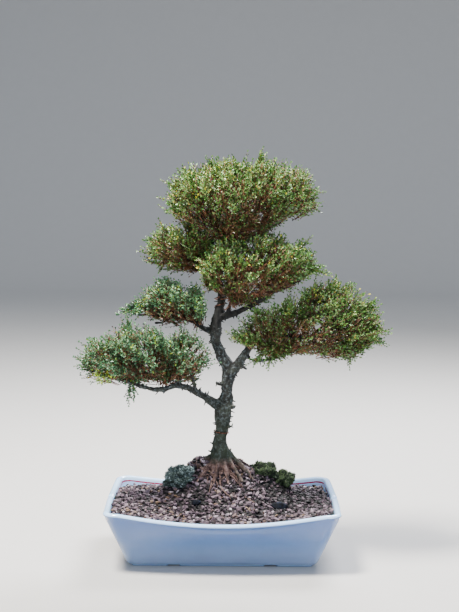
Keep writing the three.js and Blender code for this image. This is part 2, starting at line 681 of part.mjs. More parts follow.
function headCore(head) {
  const lobes = head.lobes.map((lobe, i) => lobeCore(lobe, head.seed * 10 + i));
  return joined(lobes).simplify(coreDetail);
}

function makeHead(head, core) {
  const random = randomSource(head.seed);
  const surface = meshOf(core, 'core', {});
  const sprays = head.tips.map((tip) => longShoot(head, tip, random));
  const taken = head.tips.map((tip) => vector(...tip));
  for (let i = 0; i < head.shoots; i++) {
    sprays.push(growShoot(head, surface, taken, random));
  }
  for (let i = 0; i < head.singles; i++) {
    sprays.push(growLeaf(head, surface, taken, random));
  }
  return joined([core, ...sprays.filter(Boolean)]);
}

// Lumps that lie on the gravel: place, reach, how far they sink in, and look
const lumps = [
  { name: 'moss_left', x: -46, y: -12, reach: [12, 11, 11], sink: -2, seed: 201, colour: 0x2f3325, rough: 1 },
  { name: 'moss_right', x: 43, y: 14, reach: [12, 11, 8], sink: 2, seed: 202, colour: 0x34402a, rough: 1 },
  { name: 'moss_far_right', x: 66, y: 12, reach: [12, 11, 9], sink: -1, seed: 203, colour: 0x2e3325, rough: 1 },
  { name: 'stone_right', x: 59, y: -39, reach: [9, 7, 6], sink: 2, seed: 204, colour: 0x262a33, rough: 0.7 },
  { name: 'stone_left', x: -29, y: -42, reach: [7, 5, 5], sink: 2, seed: 205, colour: 0x2a2d36, rough: 0.7 },
];

function makeLump({ x, y, reach, sink, seed }) {
  const z = soilHeight(x, y) + reach[2] / 2 - sink;
  return roughBall([x, y, z], reach, { detail: 1, radius: 1, roughness: [0.86, 1.1], flatness: 1, seed });
}

// Copper wires that lie on the bark
const wire = { radius: 0.75, sides: 4 };

function wireAround({ bottom, top, turns, closed, tilt }) {
  const curve = routeCurve(trunkRoute);
  const trunkAt = (height) => {
    const above = trunkRoute.findIndex((point) => point[2] > height);
    const share = (height - trunkRoute[above - 1][2]) / (trunkRoute[above][2] - trunkRoute[above - 1][2]);
    const centre = curve.getPoint((above - 1 + share) / (trunkRoute.length - 1));
    return { centre, radius: THREE.MathUtils.lerp(trunkRoute[above - 1][3], trunkRoute[above][3], share) };
  };
  const perTurn = 10;
  const count = Math.round(turns * perTurn);
  const rings = [];
  for (let i = 0; i < count + (closed ? 0 : 1); i++) {
    const angle = (i / perTurn) * 2 * Math.PI;
    const height = THREE.MathUtils.lerp(bottom, top, closed ? 0 : i / count) + tilt * Math.cos(angle);
    const { centre, radius } = trunkAt(height);
    const out = vector(Math.cos(angle), Math.sin(angle), 0);
    const reach = radius * 1.08 + clearance + wire.radius;
    const middle = vector(centre.x, centre.y, height).addScaledVector(out, reach);
    rings.push(Array.from({ length: wire.sides }, (_, j) => {
      const turn = (j / wire.sides) * 2 * Math.PI;
      return middle.clone()
        .addScaledVector(out, wire.radius * Math.cos(turn))
        .addScaledVector(vector(0, 0, 1), -wire.radius * Math.sin(turn));
    }));
  }
  return closed ? closedLoop(rings) : loft(rings);
}

function closedLoop(rings) {
  const count = rings[0].length;
  const faces = [];
  rings.forEach((_, i) => {
    const next = (i + 1) % rings.length;
    for (let j = 0; j < count; j++) {
      const k = (j + 1) % count;
      faces.push([i * count + j, i * count + k, next * count + k]);
      faces.push([i * count + j, next * count + k, next * count + j]);
    }
  });
  return solidFromFaces(rings.flat(), faces);
}

// The object
const group = new THREE.Group();
const wood = woodSolid(0);
const woodRoom = woodSolid(clearance);
const addNode = (solid, name, look) => group.add(meshOf(solid, name, look));

addNode(makePot(), 'pot', { color: 0xe6ebf0, roughness: 0.15 });

let soil = grainBlock(0).intersect(soilRoom());
const grainsRaised = grainBlock(clearance);
for (const [side, name] of [[-1, 'drainage_screen_left'], [1, 'drainage_screen_right']]) {
  soil = soil.subtract(screenPlate(side, clearance));
  addNode(makeScreen(side), name, { color: 0x22303a, roughness: 0.6 });
}
addNode(soil.subtract(woodRoom), 'soil', { color: 0x6f5b57, roughness: 0.95 });
addNode(wood, 'trunk_and_branches', { color: 0x4f4a40, roughness: 0.9 });

for (const lump of lumps) {
  addNode(
    makeLump(lump).subtract(grainsRaised).subtract(woodRoom),
    lump.name,
    { color: lump.colour, roughness: lump.rough },
  );
}

const tie = wireAround({ bottom: 130.5, top: 130.5, turns: 1, closed: true, tilt: 0.9 });
const training = wireAround({ bottom: 261, top: 281, turns: 2.5, closed: false, tilt: 0 });
const copper = { color: 0xa8674d, roughness: 0.4, metalness: 0.8 };
addNode(tie.subtract(woodRoom), 'tie_wire_lower', copper);
addNode(training.subtract(woodRoom), 'training_wire_upper', copper);

const cores = heads.map(headCore);
heads.forEach((head, i) => {
  let solid = makeHead(head, cores[i]);
  for (const core of cores.slice(0, i)) {
    solid = solid.subtract(core.translate([0, 0, -clearance]));
  }
  addNode(solid.subtract(woodRoom), head.name, { color: head.colour, roughness: 0.85 });
});

export default group;
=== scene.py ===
import random
from functools import partial
from math import cos, exp, hypot, pi, radians, sin, sqrt

import bmesh
import bpy
from mathutils import Matrix, Vector, noise


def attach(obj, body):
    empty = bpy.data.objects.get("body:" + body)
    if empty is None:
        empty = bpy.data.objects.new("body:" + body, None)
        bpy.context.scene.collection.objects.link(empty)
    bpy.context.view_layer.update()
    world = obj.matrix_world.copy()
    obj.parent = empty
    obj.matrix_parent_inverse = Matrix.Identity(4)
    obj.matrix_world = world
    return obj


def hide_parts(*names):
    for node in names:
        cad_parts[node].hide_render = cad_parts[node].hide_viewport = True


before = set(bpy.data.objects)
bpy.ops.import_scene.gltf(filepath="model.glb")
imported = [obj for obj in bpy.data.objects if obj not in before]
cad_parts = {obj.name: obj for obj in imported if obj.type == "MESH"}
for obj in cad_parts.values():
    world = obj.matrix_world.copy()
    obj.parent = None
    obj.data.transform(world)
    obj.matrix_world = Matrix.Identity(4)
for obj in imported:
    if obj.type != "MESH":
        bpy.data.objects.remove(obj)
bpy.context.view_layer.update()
mm = 0.001  # the scene is in metres, and the sizes below are in millimetres


# Small helpers for numbers and materials

def clamp(value, low=0, high=1):
    return min(max(value, low), high)


def between(pair, share):  # from the first value to the second
    return pair[0] + (pair[1] - pair[0]) * share


def linear(hexText):
    parts = [int(hexText[i:i + 2], 16) / 255 for i in (1, 3, 5)]
    return [c / 12.92 if c <= 0.04045 else ((c + 0.055) / 1.055) ** 2.4 for c in parts] + [1.0]


def inputOf(node, name):  # by its number, or by its name among the inputs in use
    if isinstance(name, int):
        return node.inputs[name]
    return {socket.name: socket for socket in node.inputs if socket.enabled}[name]


def outputOf(source):  # a node stands for its first output in use
    if isinstance(source, bpy.types.Node):
        return next(socket for socket in source.outputs if socket.enabled)
    return source


def addNode(tree, kind, settings=None, links=None):
    node = tree.nodes.new("ShaderNode" + kind)
    for name, value in (settings or {}).items():
        if isinstance(value, str) and value.startswith("#"):
            value = linear(value)
        if name == "stops":  # of a colour ramp: places and hex colours
            stops = node.color_ramp.elements
            stops[0].position, stops[1].position = value[0][0], value[-1][0]
            for place, _ in value[1:-1]:
                stops.new(place)
            for stop, (_, colour) in zip(stops, value):
                stop.color = linear(colour)
        elif isinstance(name, str) and hasattr(node, name):
            setattr(node, name, value)
        else:
            inputOf(node, name).default_value = value
    for name, source in (links or {}).items():
        tree.links.new(outputOf(source), inputOf(node, name))
    return node


def newMaterial(name, settings):  # with what adds a node to it, and the place on the object
    material = bpy.data.materials.new(name)
    material.use_nodes = True
    for socket, value in settings.items():
        material.node_tree.nodes["Principled BSDF"].inputs[socket].default_value = value
    add = partial(addNode, material.node_tree)
    return material, add, add("TexCoord").outputs["Object"]


def dress(material, **sources):  # colour and normal of the shader come from these nodes
    tree = material.node_tree
    for name, node in sources.items():
        socket = {"colour": "Base Color", "normal": "Normal"}[name]
        tree.links.new(outputOf(node), tree.nodes["Principled BSDF"].inputs[socket])


colourMix = {"data_type": "RGBA"}  # settings of a mix node
multiply = {"data_type": "RGBA", "blend_type": "MULTIPLY"}


# Small helpers for meshes

def keepMesh(name, bm):
    mesh = bpy.data.meshes.new(name)
    bm.to_mesh(mesh)
    bm.free()
    return mesh


def addObject(name, data):
    made = bpy.data.objects.new(name, data)
    bpy.context.collection.objects.link(made)
    return made


def addSolid(name, bm, materials, smooth=True):
    mesh = keepMesh(name, bm)
    for polygon in mesh.polygons:
        polygon.use_smooth = smooth
    for material in materials:
        mesh.materials.append(material)
    return addObject(name, mesh)


def finishPiece(name, bm, materials, replaced, smooth=True):
    piece = addSolid(name, bm, materials, smooth)
    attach(piece, "root")
    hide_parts(replaced)
    piece.data.calc_loop_triangles()
    print(name, "has", len(piece.data.loop_triangles), "triangles")
    return piece


def modifiedMesh(source):  # its mesh after its modifiers
    return bpy.data.meshes.new_from_object(source.evaluated_get(bpy.context.evaluated_depsgraph_get()))


def vertsOf(items):
    return [item for item in items if isinstance(item, bmesh.types.BMVert)]


def extrudeRing(bm, ring, places):  # pulls a closed ring of vertices out to new places
    order = {vert: i for i, vert in enumerate(ring)}
    edges = [bm.edges.get((ring[i - 1], ring[i])) for i in range(len(ring))]
    fresh = [None] * len(ring)
    for vert in vertsOf(bmesh.ops.extrude_edge_only(bm, edges=edges)["geom"]):
        old = next(edge.other_vert(vert) for edge in vert.link_edges if edge.other_vert(vert) in order)
        fresh[order[old]] = vert
    for vert, place in zip(fresh, places):
        vert.co = place
    return fresh


def growRod(bm, route, sides):  # a tapered twig along points (place, radius)
    ring = None
    made = []
    for i, (place, radius) in enumerate(route):
        along = route[min(i + 1, len(route) - 1)][0] - route[max(i - 1, 0)][0]
        turn = along.to_track_quat("Z", "Y").to_matrix()
        angles = [2 * pi * k / sides for k in range(sides)]
        places = [place + turn @ Vector((radius * cos(a), radius * sin(a), 0)) for a in angles]
        if ring is None:
            ring = bmesh.ops.create_circle(bm, segments=sides, radius=radius, cap_ends=True)["verts"]
            for vert, corner in zip(ring, places):
                vert.co = corner
        else:
            ring = extrudeRing(bm, ring, places)
        made += ring
    bmesh.ops.contextual_create(bm, geom=ring)
    return made


def faceOut(bm):
    bmesh.ops.recalc_face_normals(bm, faces=bm.faces)


def makeHull(bm, corners):  # the convex lump round some corners
    for corner in corners:
        bmesh.ops.create_vert(bm, co=corner)
    hull = bmesh.ops.convex_hull(bm, input=bm.verts)
    bmesh.ops.delete(bm, geom=vertsOf(hull["geom_interior"]), context="VERTS")


def anyWay(rnd):  # a random direction
    z = rnd.uniform(-1, 1)
    angle = rnd.uniform(0, 2 * pi)
    flat = sqrt(1 - z * z)
    return Vector((flat * cos(angle), flat * sin(angle), z))


def addCopy(bm, shape, matrix, tint):  # tint is added to the shape's attribute of that name
    values = shape.attributes["tint"].data
    kept = [item.value for item in values]
    values.foreach_set("value", [clamp(value + tint) for value in kept])
    shape.transform(matrix)
    bm.from_mesh(shape)
    shape.transform(matrix.inverted())
    values.foreach_set("value", kept)


def stand(foot, along, rnd):  # puts a shape's foot at a place, pointing along, turned at random
    turn = along.to_track_quat("Z", "Y").to_matrix().to_4x4()
    return Matrix.Translation(foot * mm) @ turn @ Matrix.Rotation(rnd.uniform(0, 2 * pi), 4, "Z")


# Camera, floor and light

view = {"place": (5, -1380, 398), "pitch": 5.48, "roll": -0.4, "lens": 76.8, "sensor": 36}

camera = addObject("camera", bpy.data.cameras.new("camera"))
camera.data.lens = view["lens"]
camera.data.sensor_width = view["sensor"]
camera.location = Vector(view["place"]) * mm
camera.rotation_euler = (radians(90 - view["pitch"]), radians(view["roll"]), 0)
bpy.context.scene.camera = camera

stage = {"side": 9000, "back": 3200, "sweep": 1200, "sweepSteps": 24, "wall": 5000,
         "paper": "#b9b7b3", "fibre": "#bdbbb7", "grain": 30, "sky": "#d3e1f6", "skyStrength": 0.75,
         "aim": (0, 0, 200)}

# A plain pale paper sweep: floor, a quarter round and a wall behind
paper, add, place = newMaterial("plain_paper_floor", {"Roughness": 0.9})
fibres = add("TexNoise", {"Scale": 1 / (stage["grain"] * mm)}, {"Vector": place})
dress(paper, colour=add("Mix", {**colourMix, "A": stage["paper"], "B": stage["fibre"]}, {"Factor": fibres}))

bm = bmesh.new()
bmesh.ops.create_grid(bm, x_segments=1, y_segments=1, size=stage["side"] / 2 * mm)
for vert in bm.verts:
    if vert.co.y > 0:
        vert.co.y = stage["back"] * mm
far = [edge for edge in bm.edges if all(vert.co.y > 0 for vert in edge.verts)]
sweepMiddle = Vector((0, stage["back"], stage["sweep"])) * mm
quarterRound = bmesh.ops.spin(bm, geom=far, cent=sweepMiddle, axis=(1, 0, 0), angle=pi / 2,
                              steps=stage["sweepSteps"])
top = [item for item in quarterRound["geom_last"] if isinstance(item, bmesh.types.BMEdge)]
for vert in vertsOf(bmesh.ops.extrude_edge_only(bm, edges=top)["geom"]):
    vert.co.z += stage["wall"] * mm
faceOut(bm)
floor = addSolid("floor", bm, [paper])

world = bpy.data.worlds.new("soft_sky")
world.use_nodes = True
background = world.node_tree.nodes["Background"]
background.inputs["Color"].default_value = linear(stage["sky"])
background.inputs["Strength"].default_value = stage["skyStrength"]
bpy.context.scene.world = world

lamps = {  # place and side in mm, power in watts
    "key": {"place": (-500, -250, 1500), "side": 420, "power": 92, "colour": "#fffaf2"},
    "back": {"place": (420, 800, 1200), "side": 700, "power": 56, "colour": "#fbfbff"},
    "fill": {"place": (700, -1300, 700), "side": 900, "power": 9, "colour": "#e0eaff"},
}
for name, lamp in lamps.items():
    light = addObject(name, bpy.data.lights.new(name, "AREA"))
    light.data.shape = "DISK"
    light.data.size = lamp["side"] * mm
    light.data.energy = lamp["power"]
    light.data.color = linear(lamp["colour"])[:3]
    light.location = Vector(lamp["place"]) * mm
    aim = Vector(stage["aim"]) * mm - light.location
    light.rotation_euler = aim.to_track_quat("-Z", "Y").to_euler()
print("camera, floor and lamps are set")


# Pot: white glazed porcelain, slip-cast

pot = {
    "rim": (121.5, 90, 15), "base": (99, 62.5, 10), "height": 62,  # half length, half width, corner
    "footHeight": 2.4, "footInset": 5, "longBulge": 7, "longDip": 8.5, "shortBulge": 2, "shortDip": 2,
    "notch": 2.5, "notchReach": 0.03, "lip": 6.5, "lipRise": 3.2, "wall": 7, "floor": 7.5, "fillet": 3,
    "longSteps": 44, "shortSteps": 28, "cornerSteps": 12, "lipSteps": 9,
    "drainRadius": 8, "drainOffset": 50, "grooveWidth": 12, "grooveHeight": 1.6,
    "arch": 1.1, "flare": 1.3, "lineDepth": 4.8, "lineWidth": 2.3, "lineWobble": 0.9,
}


def potStations():  # where the points of a ring lie: side or corner, its quarter, and a share along it
    stations = []
    for quarter in range(4):
        steps = pot["longSteps"] if quarter % 2 else pot["shortSteps"]
        shares = [-1 + 2 * (i + 0.5) / steps for i in range(steps)]
        if quarter % 2 == 0:
            reach = pot["notchReach"]
            shares = sorted([s for s in shares if abs(s) > 2.2 * reach]
                            + [k * reach for k in (-2, -1.2, -0.6, 0, 0.6, 1.2, 2)])
        stations += [("side", quarter, s) for s in shares]
        stations += [("corner", quarter, i / pot["cornerSteps"]) for i in range(pot["cornerSteps"] + 1)]
    return stations


def potSize(share):  # half length, half width and corner, from the base to the rim
    return [between(pair, share) for pair in zip(pot["base"], pot["rim"])]


def potPoint(station, share, inset, height, notch):
    kind, quarter, s = station
    length, width, corner = potSize(share)
    length, width, corner = length - inset, width - inset, max(corner - inset, 3)
    straightX, straightY = length - corner, width - corner
    if kind == "corner":
        angle = (quarter + s) * pi / 2
        x = (straightX if quarter in (0, 3) else -straightX) + corner * cos(angle)
        y = (straightY if quarter in (0, 1) else -straightY) + corner * sin(angle)
        return Vector((x, y, height)) * mm
    arch = (1 - s * s) ** pot["arch"] * max(share, 0) ** pot["flare"]
    if quarter % 2 == 0:
        side = 1 - quarter
        drop = notch * exp(-((s / pot["notchReach"]) ** 2))
        out = side * (length + pot["shortBulge"] * arch)
        return Vector((out, side * s * straightY, height - pot["shortDip"] * arch - drop)) * mm
    side = 2 - quarter
    return Vector((-side * s * straightX, side * (width + pot["longBulge"] * arch),
                   height - pot["longDip"] * arch)) * mm


def potProfile():  # rings up the wall, over the lip and down inside: share, inset, height and notch
    height, lip, rise = pot["height"], pot["lip"], pot["lipRise"]
    under = pot["footHeight"]
    rings = [(0, pot["footInset"], 0, 0), (0, pot["footInset"], under * 0.5, 0),
             (0, pot["footInset"] - 0.3, under, 0), (0, 1.6, under, 0), (0, 0.6, under + 0.5, 0),
             (0.03, 0.1, under + 1.6, 0)]
    rings += [(s, 0, under + (height - 3 - under) * s, 0) for s in (0.08, 0.2, 0.35, 0.5, 0.65, 0.8, 0.9)]
    rings += [(0.955, 0.25, height - rise - 1.4, 0.3 * pot["notch"])]
    for i in range(pot["lipSteps"] + 1):  # the lip is half an ellipse
        angle = pi * i / pot["lipSteps"]
        inset = lip / 2 - (lip / 2 + 0.35) * cos(angle)
        rings.append((1, inset, height - rise + rise * sin(angle), pot["notch"]))
    rings += [(1, lip + 0.9, height - rise - 1.2, 0.5 * pot["notch"]), (0.97, lip + 0.7, height - 7, 0)]
    rings += [(0.9, pot["wall"], height - 10, 0), (0.75, pot["wall"], height - 17, 0)]
    rings += [(s, pot["wall"], under + (height - 3 - under) * s, 0) for s in (0.5, 0.3, 0.16)]
    rings += [(0.12, pot["wall"] + 1, pot["floor"] + 1, 0)]
    rings += [(0.06, pot["wall"] + pot["fillet"], pot["floor"], 0)]
    return rings


def makePot():
    stations = potStations()
    profile = potProfile()
    bm = bmesh.new()
    depth = bm.verts.layers.float.new("depth")  # how far below the lip, on the inner wall, in mm
    edge = bm.verts.layers.float.new("edge")  # no painted wall shade: 1 on lip and foot, 0.5 inside
    ring = bmesh.ops.create_circle(bm, segments=len(stations), radius=1, cap_ends=True)["verts"]
    for vert, station in zip(ring, stations):
        vert.co = potPoint(station, *profile[0])
    inside = len(profile) - 9  # the last rings run down the inner wall
    for i, step in enumerate(profile[1:], 1):
        ring = extrudeRing(bm, ring, [potPoint(station, *step) for station in stations])
        onEdge = i < 5 or inside - pot["lipSteps"] <= i <= inside
        for vert in ring:
            vert[depth] = pot["height"] - step[2] if i >= inside else 0
            vert[edge] = 1 if onEdge else 0.5 if i >= inside else 0
    bmesh.ops.contextual_create(bm, geom=ring)
    faceOut(bm)
    return bm


def cutPot(piece):  # two drain holes, and a groove across the foot at each of them
    bm = bmesh.new()
    for side in (-1, 1):
        place = Matrix.Translation((side * pot["drainOffset"] * mm, 0, 0))
        bmesh.ops.create_cone(bm, cap_ends=True, segments=40, radius1=pot["drainRadius"] * mm,
                              radius2=pot["drainRadius"] * mm, depth=40 * mm, matrix=place)
        size = Matrix.Diagonal((pot["grooveWidth"] * mm, 200 * mm, 2 * pot["grooveHeight"] * mm, 1))
        bmesh.ops.create_cube(bm, size=1, matrix=place @ size)
    faceOut(bm)
    cutter = addObject("cutter", keepMesh("cutter", bm))
    cut = piece.modifiers.new("drains", "BOOLEAN")
    cut.operation, cut.object, cut.use_self = "DIFFERENCE", cutter, True
    old, whole = piece.data, modifiedMesh(piece)
    piece.modifiers.remove(cut)
    piece.data = whole
    bpy.data.objects.remove(cutter)
    bpy.data.meshes.remove(old)


# Porcelain, slip-cast and glazed: a sharp sky reflection over a soft bluish white. The outer wall is painted
# over with blue-grey sky shade, lighter towards the foot and darker towards the rim; the lip, the foot and,
# half as much, the inner wall keep the glaze's own pale white, as it looks where lit. Faint orange peel, a
# few pinholes, and a thin crimson line inside the lip
porcelain, add, place = newMaterial("porcelain_glazed", {
    "Roughness": 0.16, "IOR": 1.5, "Coat Weight": 0.6, "Coat Roughness": 0.06,
    "Subsurface Weight": 0.1, "Subsurface Scale": 2 * mm,
})
cloud = add("TexNoise", {"Scale": 1 / (38 * mm), "Detail": 4}, {"Vector": place})
glaze = add("ValToRGB", {"stops": [(0.3, "#b4b4b4"), (0.7, "#ffffff")]}, {"Fac": cloud})
height = add("SeparateXYZ", {}, {"Vector": place}).outputs["Z"]
height = add("MapRange", {"From Max": pot["height"] * mm}, {"Value": height})
# painted shade: the outer wall's blue-grey sky shade, lighter towards the foot, darker towards the rim
bluishGlazeAndShade = add("ValToRGB", {"stops": [(0.1, "#8ba1c6"), (0.5, "#5c7bad"), (0.9, "#476aa6")]}, {"Fac": height})
glaze = add("Mix", {**multiply, "Factor": 0.2}, {"A": bluishGlazeAndShade, "B": glaze})
# the lip, the foot and the inner wall show the pale glaze instead of the wall's painted shade
lipFootAndInside = add("Attribute", {"attribute_name": "edge"})
glaze = add("Mix", {**colourMix, "B": "#b8daff"}, {"Factor": lipFootAndInside.outputs["Fac"], "A": glaze})
pinholes = add("TexNoise", {"Scale": 1 / (1.1 * mm), "Detail": 1}, {"Vector": place})
pinholes = add("ValToRGB", {"stops": [(0.76, "#000000"), (0.8, "#ffffff")]}, {"Fac": pinholes})
glaze = add("Mix", {**colourMix, "B": "#7d8b9a"}, {"Factor": pinholes, "A": glaze})
depthHere = add("Attribute", {"attribute_name": "depth"})
wobble = add("TexNoise", {"Scale": 1 / (9 * mm)}, {"Vector": place})
wobbled = add("Math", {"operation": "MULTIPLY_ADD", 1: pot["lineWobble"]},
                  {0: wobble, 2: depthHere.outputs["Fac"]})
fromLine = add("Math", {"operation": "SUBTRACT", 1: pot["lineDepth"] + pot["lineWobble"] / 2}, {0: wobbled})
fromLine = add("Math", {"operation": "ABSOLUTE"}, {0: fromLine})
onLine = add("Math", {"operation": "LESS_THAN", 1: pot["lineWidth"] / 2}, {0: fromLine})
glaze = add("Mix", {**colourMix, "B": "#85103a"}, {"Factor": onLine, "A": glaze})
peel = add("TexNoise", {"Scale": 1 / (7 * mm), "Detail": 2}, {"Vector": place})
dress(porcelain, colour=glaze,
      normal=add("Bump", {"Distance": 0.12 * mm, "Strength": 0.35}, {"Height": peel}))

potPiece = finishPiece("porcelain_pot", makePot(), [porcelain], "pot")
cutPot(potPiece)


# Gravel: a bed that rises to a mound, and thousands of crushed grains on it

bed = {"level": 50.5, "endRise": 5, "endReach": 105, "lean": 3 / 80, "margin": 1.5, "skirt": 11,
       "skirtX": 0.9, "skirtY": 0.8, "stepsX": 100, "stepsY": 70, "relief": 1.2, "reliefSize": 3,
       "settled": 0.6, "edgeX": 90, "edgeY": 60, "edgeHeight": 60, "squareness": 14}
mounds = [  # centre, height and reach of the mound and its shoulders
    {"x": -5, "y": 2, "height": 41, "reachX": 60, "reachY": 41},
    {"x": -28, "y": 8, "height": 14, "reachX": 16, "reachY": 15},
    {"x": 50, "y": 15, "height": 12, "reachX": 26, "reachY": 18},
    {"x": 17, "y": 12, "height": 9, "reachX": 12, "reachY": 12},
]
grains = {"pitch": 3.7, "radius": (1.3, 2.7), "kinds": 12, "corners": 12, "rough": (0.85, 1.1),
          "long": (1.0, 1.6), "flat": (0.55, 0.85), "tilt": 0.7, "layers": 3, "upper": 0.75, "shift": 0.4,
          "lift": 1.1, "clear": 0.7, "sunk": (-1.8, 0.8), "crest": 2.2, "gapDepth": 3.4, "seed": 5}
darkPatches = [  # where the grains are darker, and how much
    {"x": 78, "y": -12, "reach": 40, "much": 0.5},
    {"x": -26, "y": -40, "reach": 15, "much": 0.4},
    {"x": -95, "y": 0, "reach": 34, "much": 0.14},
]


def soilHeight(x, y):
    height = bed["level"] + (bed["endRise"] - bed["lean"] * y) * (x / bed["endReach"]) ** 2
    for m in mounds:
        reach = ((x - m["x"]) / m["reachX"]) ** 2 + ((y - m["y"]) / m["reachY"]) ** 2
        height += m["height"] * exp(-reach)
    return height


def bedReach(x, y, height, margin):  # below 1 inside the pot's inner wall at that height
    share = (height - pot["footHeight"]) / (pot["height"] - 3 - pot["footHeight"])
    length, width, corner = potSize(min(share, 1))
    shape = clamp(share) ** pot["flare"]
    inset = pot["wall"] + margin
    straightX, straightY = length - corner, width - corner
    archX = (1 - min(abs(x) / straightX, 1) ** 2) ** pot["arch"] * shape
    archY = (1 - min(abs(y) / straightY, 1) ** 2) ** pot["arch"] * shape
    halfX, halfY = length - inset + pot["shortBulge"] * archY, width - inset + pot["longBulge"] * archX
    soft = bed["squareness"]  # a high power makes a rectangle with rounded corners
    return ((abs(x) / halfX) ** soft + (abs(y) / halfY) ** soft) ** (1 / soft)


def makeBed(bm):
    spanX, spanY = pot["rim"][0], pot["rim"][1] + pot["longBulge"]
    made = bmesh.ops.create_grid(bm, x_segments=bed["stepsX"], y_segments=bed["stepsY"], size=0.5)["verts"]
    for vert in made:
        x, y = vert.co.x * 2 * spanX, vert.co.y * 2 * spanY
        height = soilHeight(x, y)
        if abs(x) > bed["edgeX"] or abs(y) > bed["edgeY"]:
            height = min(height, bed["edgeHeight"])
        reach = bedReach(x, y, height, bed["margin"])
        if reach > 1:
            x, y = x / reach, y / reach
        lift = bed["relief"] * noise.noise(Vector((x, y, 0)) / bed["reliefSize"])
        vert.co = Vector((x, y, soilHeight(x, y) - bed["settled"] + lift)) * mm
    rim = [edge for edge in bm.edges if edge.is_boundary]
    for vert in vertsOf(bmesh.ops.extrude_edge_only(bm, edges=rim)["geom"]):
        vert.co.x *= bed["skirtX"]
        vert.co.y *= bed["skirtY"]
        vert.co.z -= bed["skirt"] * mm
    bmesh.ops.remove_doubles(bm, verts=bm.verts, dist=0.05 * mm)
    bmesh.ops.contextual_create(bm, geom=[edge for edge in bm.edges if edge.is_boundary])
    faceOut(bm)


def makeGrain(rnd):  # a crushed stone
    bm = bmesh.new()
    long, flat = rnd.uniform(*grains["long"]), rnd.uniform(*grains["flat"])
    ways = [anyWay(rnd) * rnd.uniform(*grains["rough"]) for _ in range(grains["corners"])]
    makeHull(bm, [(way.x * long, way.y, way.z * flat) for way in ways])
    faceOut(bm)
    bm.verts.layers.float.new("tint")
    return keepMesh("grain", bm)


def steepness(x, y):
    here = soilHeight(x, y)
    return hypot(soilHeight(x + 1, y) - here, soilHeight(x, y + 1) - here)


def darkness(x, y):
    return sum(spot["much"] * exp(-hypot(x - spot["x"], y - spot["y"]) ** 2 / spot["reach"] ** 2)
               for spot in darkPatches)


def makeSoil():
    rnd = random.Random(grains["seed"])
    bm = bmesh.new()
    bm.verts.layers.float.new("tint")
    # the bed keeps tint 0, the darkest grain colour, as painted shade under the grains
    makeBed(bm)
    kinds = [makeGrain(rnd) for _ in range(grains["kinds"])]
    pitch = grains["pitch"]
    columns = int(2 * pot["rim"][0] / pitch)
    rows = int(2 * (pot["rim"][1] + pot["longBulge"]) / pitch)
    for layer in range(grains["layers"]):
        for i in range(columns * rows):
            shift = grains["shift"] * layer
            x = (i % columns - columns / 2 + shift + rnd.uniform(-0.5, 0.5)) * pitch
            y = (i // columns - rows / 2 + shift + rnd.uniform(-0.5, 0.5)) * pitch
            radius = rnd.uniform(*grains["radius"])
            height = soilHeight(x, y) + rnd.uniform(*grains["sunk"]) + grains["lift"] * min(layer, 1)
            kept = (1, grains["upper"], steepness(x, y))[layer]  # slopes need more grains
            if bedReach(x, y, height, radius * grains["clear"]) > 1 or rnd.random() > kept:
                continue
            turn = Matrix.Rotation(rnd.gauss(0, grains["tilt"]), 4, anyWay(rnd))
            turn = turn @ Matrix.Rotation(rnd.uniform(0, 2 * pi), 4, "Z")
            place = Matrix.Translation(Vector((x, y, height)) * mm)
            size = Matrix.Scale(radius * mm, 4)
            addCopy(bm, rnd.choice(kinds), place @ turn @ size, rnd.random() - darkness(x, y))
    sunk = bm.verts.layers.float.new("sunk")  # 0 on top of the grains, 1 down between them
    for vert in bm.verts:
        x, y, z = vert.co / mm
        vert[sunk] = clamp((soilHeight(x, y) + grains["crest"] - z) / grains["gapDepth"])
    return bm


# Gravel, crushed volcanic rock: matt grains, each of one colour from dark plum to pale pinkish grey, with
# fine pits; a few are tan or near black, and painted shade darkens them down between the grains
gravel, add, place = newMaterial("lava_gravel_crushed", {"Roughness": 0.82})
grain = add("Attribute", {"attribute_name": "tint"})
grainColour = add("ValToRGB", {"stops": [
    (0.0, "#080607"), (0.08, "#171214"), (0.2, "#2f2428"), (0.36, "#493a42"), (0.52, "#614e59"),
    (0.68, "#7a6771"), (0.8, "#988892"), (0.88, "#60463b"), (0.93, "#856c54"), (0.97, "#b5a9ae"),
    (1.0, "#d6ced3")]}, {"Fac": grain.outputs["Fac"]})
pits = add("TexNoise", {"Scale": 1 / (0.9 * mm), "Detail": 3}, {"Vector": place})
speckle = add("ValToRGB", {"stops": [(0.35, "#5d5458"), (0.65, "#ffffff")]}, {"Fac": pits})
grainColour = add("Mix", {**multiply, "Factor": 0.6}, {"A": grainColour, "B": speckle})
sunk = add("Attribute", {"attribute_name": "sunk"})
# painted shade: the grains darken down between them
paintedGapShade = add("ValToRGB", {"stops": [(0.25, "#ffffff"), (0.95, "#241d1f")]}, {"Fac": sunk.outputs["Fac"]})
grainColour = add("Mix", {**multiply, "Factor": 1.0}, {"A": grainColour, "B": paintedGapShade})
dress(gravel, colour=grainColour,
      normal=add("Bump", {"Distance": 0.25 * mm, "Strength": 0.8}, {"Height": pits}))

finishPiece("gravel_bed", makeSoil(), [gravel], "soil", smooth=False)


# Drain screens: the CAD plates stay, in a material of their own
# Polypropylene, moulded: matt dark plastic with a fine even grain
screenPlastic, add, place = newMaterial("polypropylene_moulded", {"Roughness": 0.55})
cloud = add("TexNoise", {"Scale": 1 / (4 * mm)}, {"Vector": place})
fine = add("TexNoise", {"Scale": 1 / (0.3 * mm), "Detail": 2}, {"Vector": place})
dress(screenPlastic,
      colour=add("ValToRGB", {"stops": [(0.3, "#1b2327"), (0.7, "#252f34")]}, {"Fac": cloud}),
      normal=add("Bump", {"Distance": 0.05 * mm, "Strength": 0.5}, {"Height": fine}))
for name in ("drainage_screen_left", "drainage_screen_right"):
    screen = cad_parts[name]
    screen.data.materials.clear()
    screen.data.materials.append(screenPlastic)
print("drain screens are dressed")


# Wood: the CAD tree remeshed, rounded and grown over with bark, with spurs and fine roots

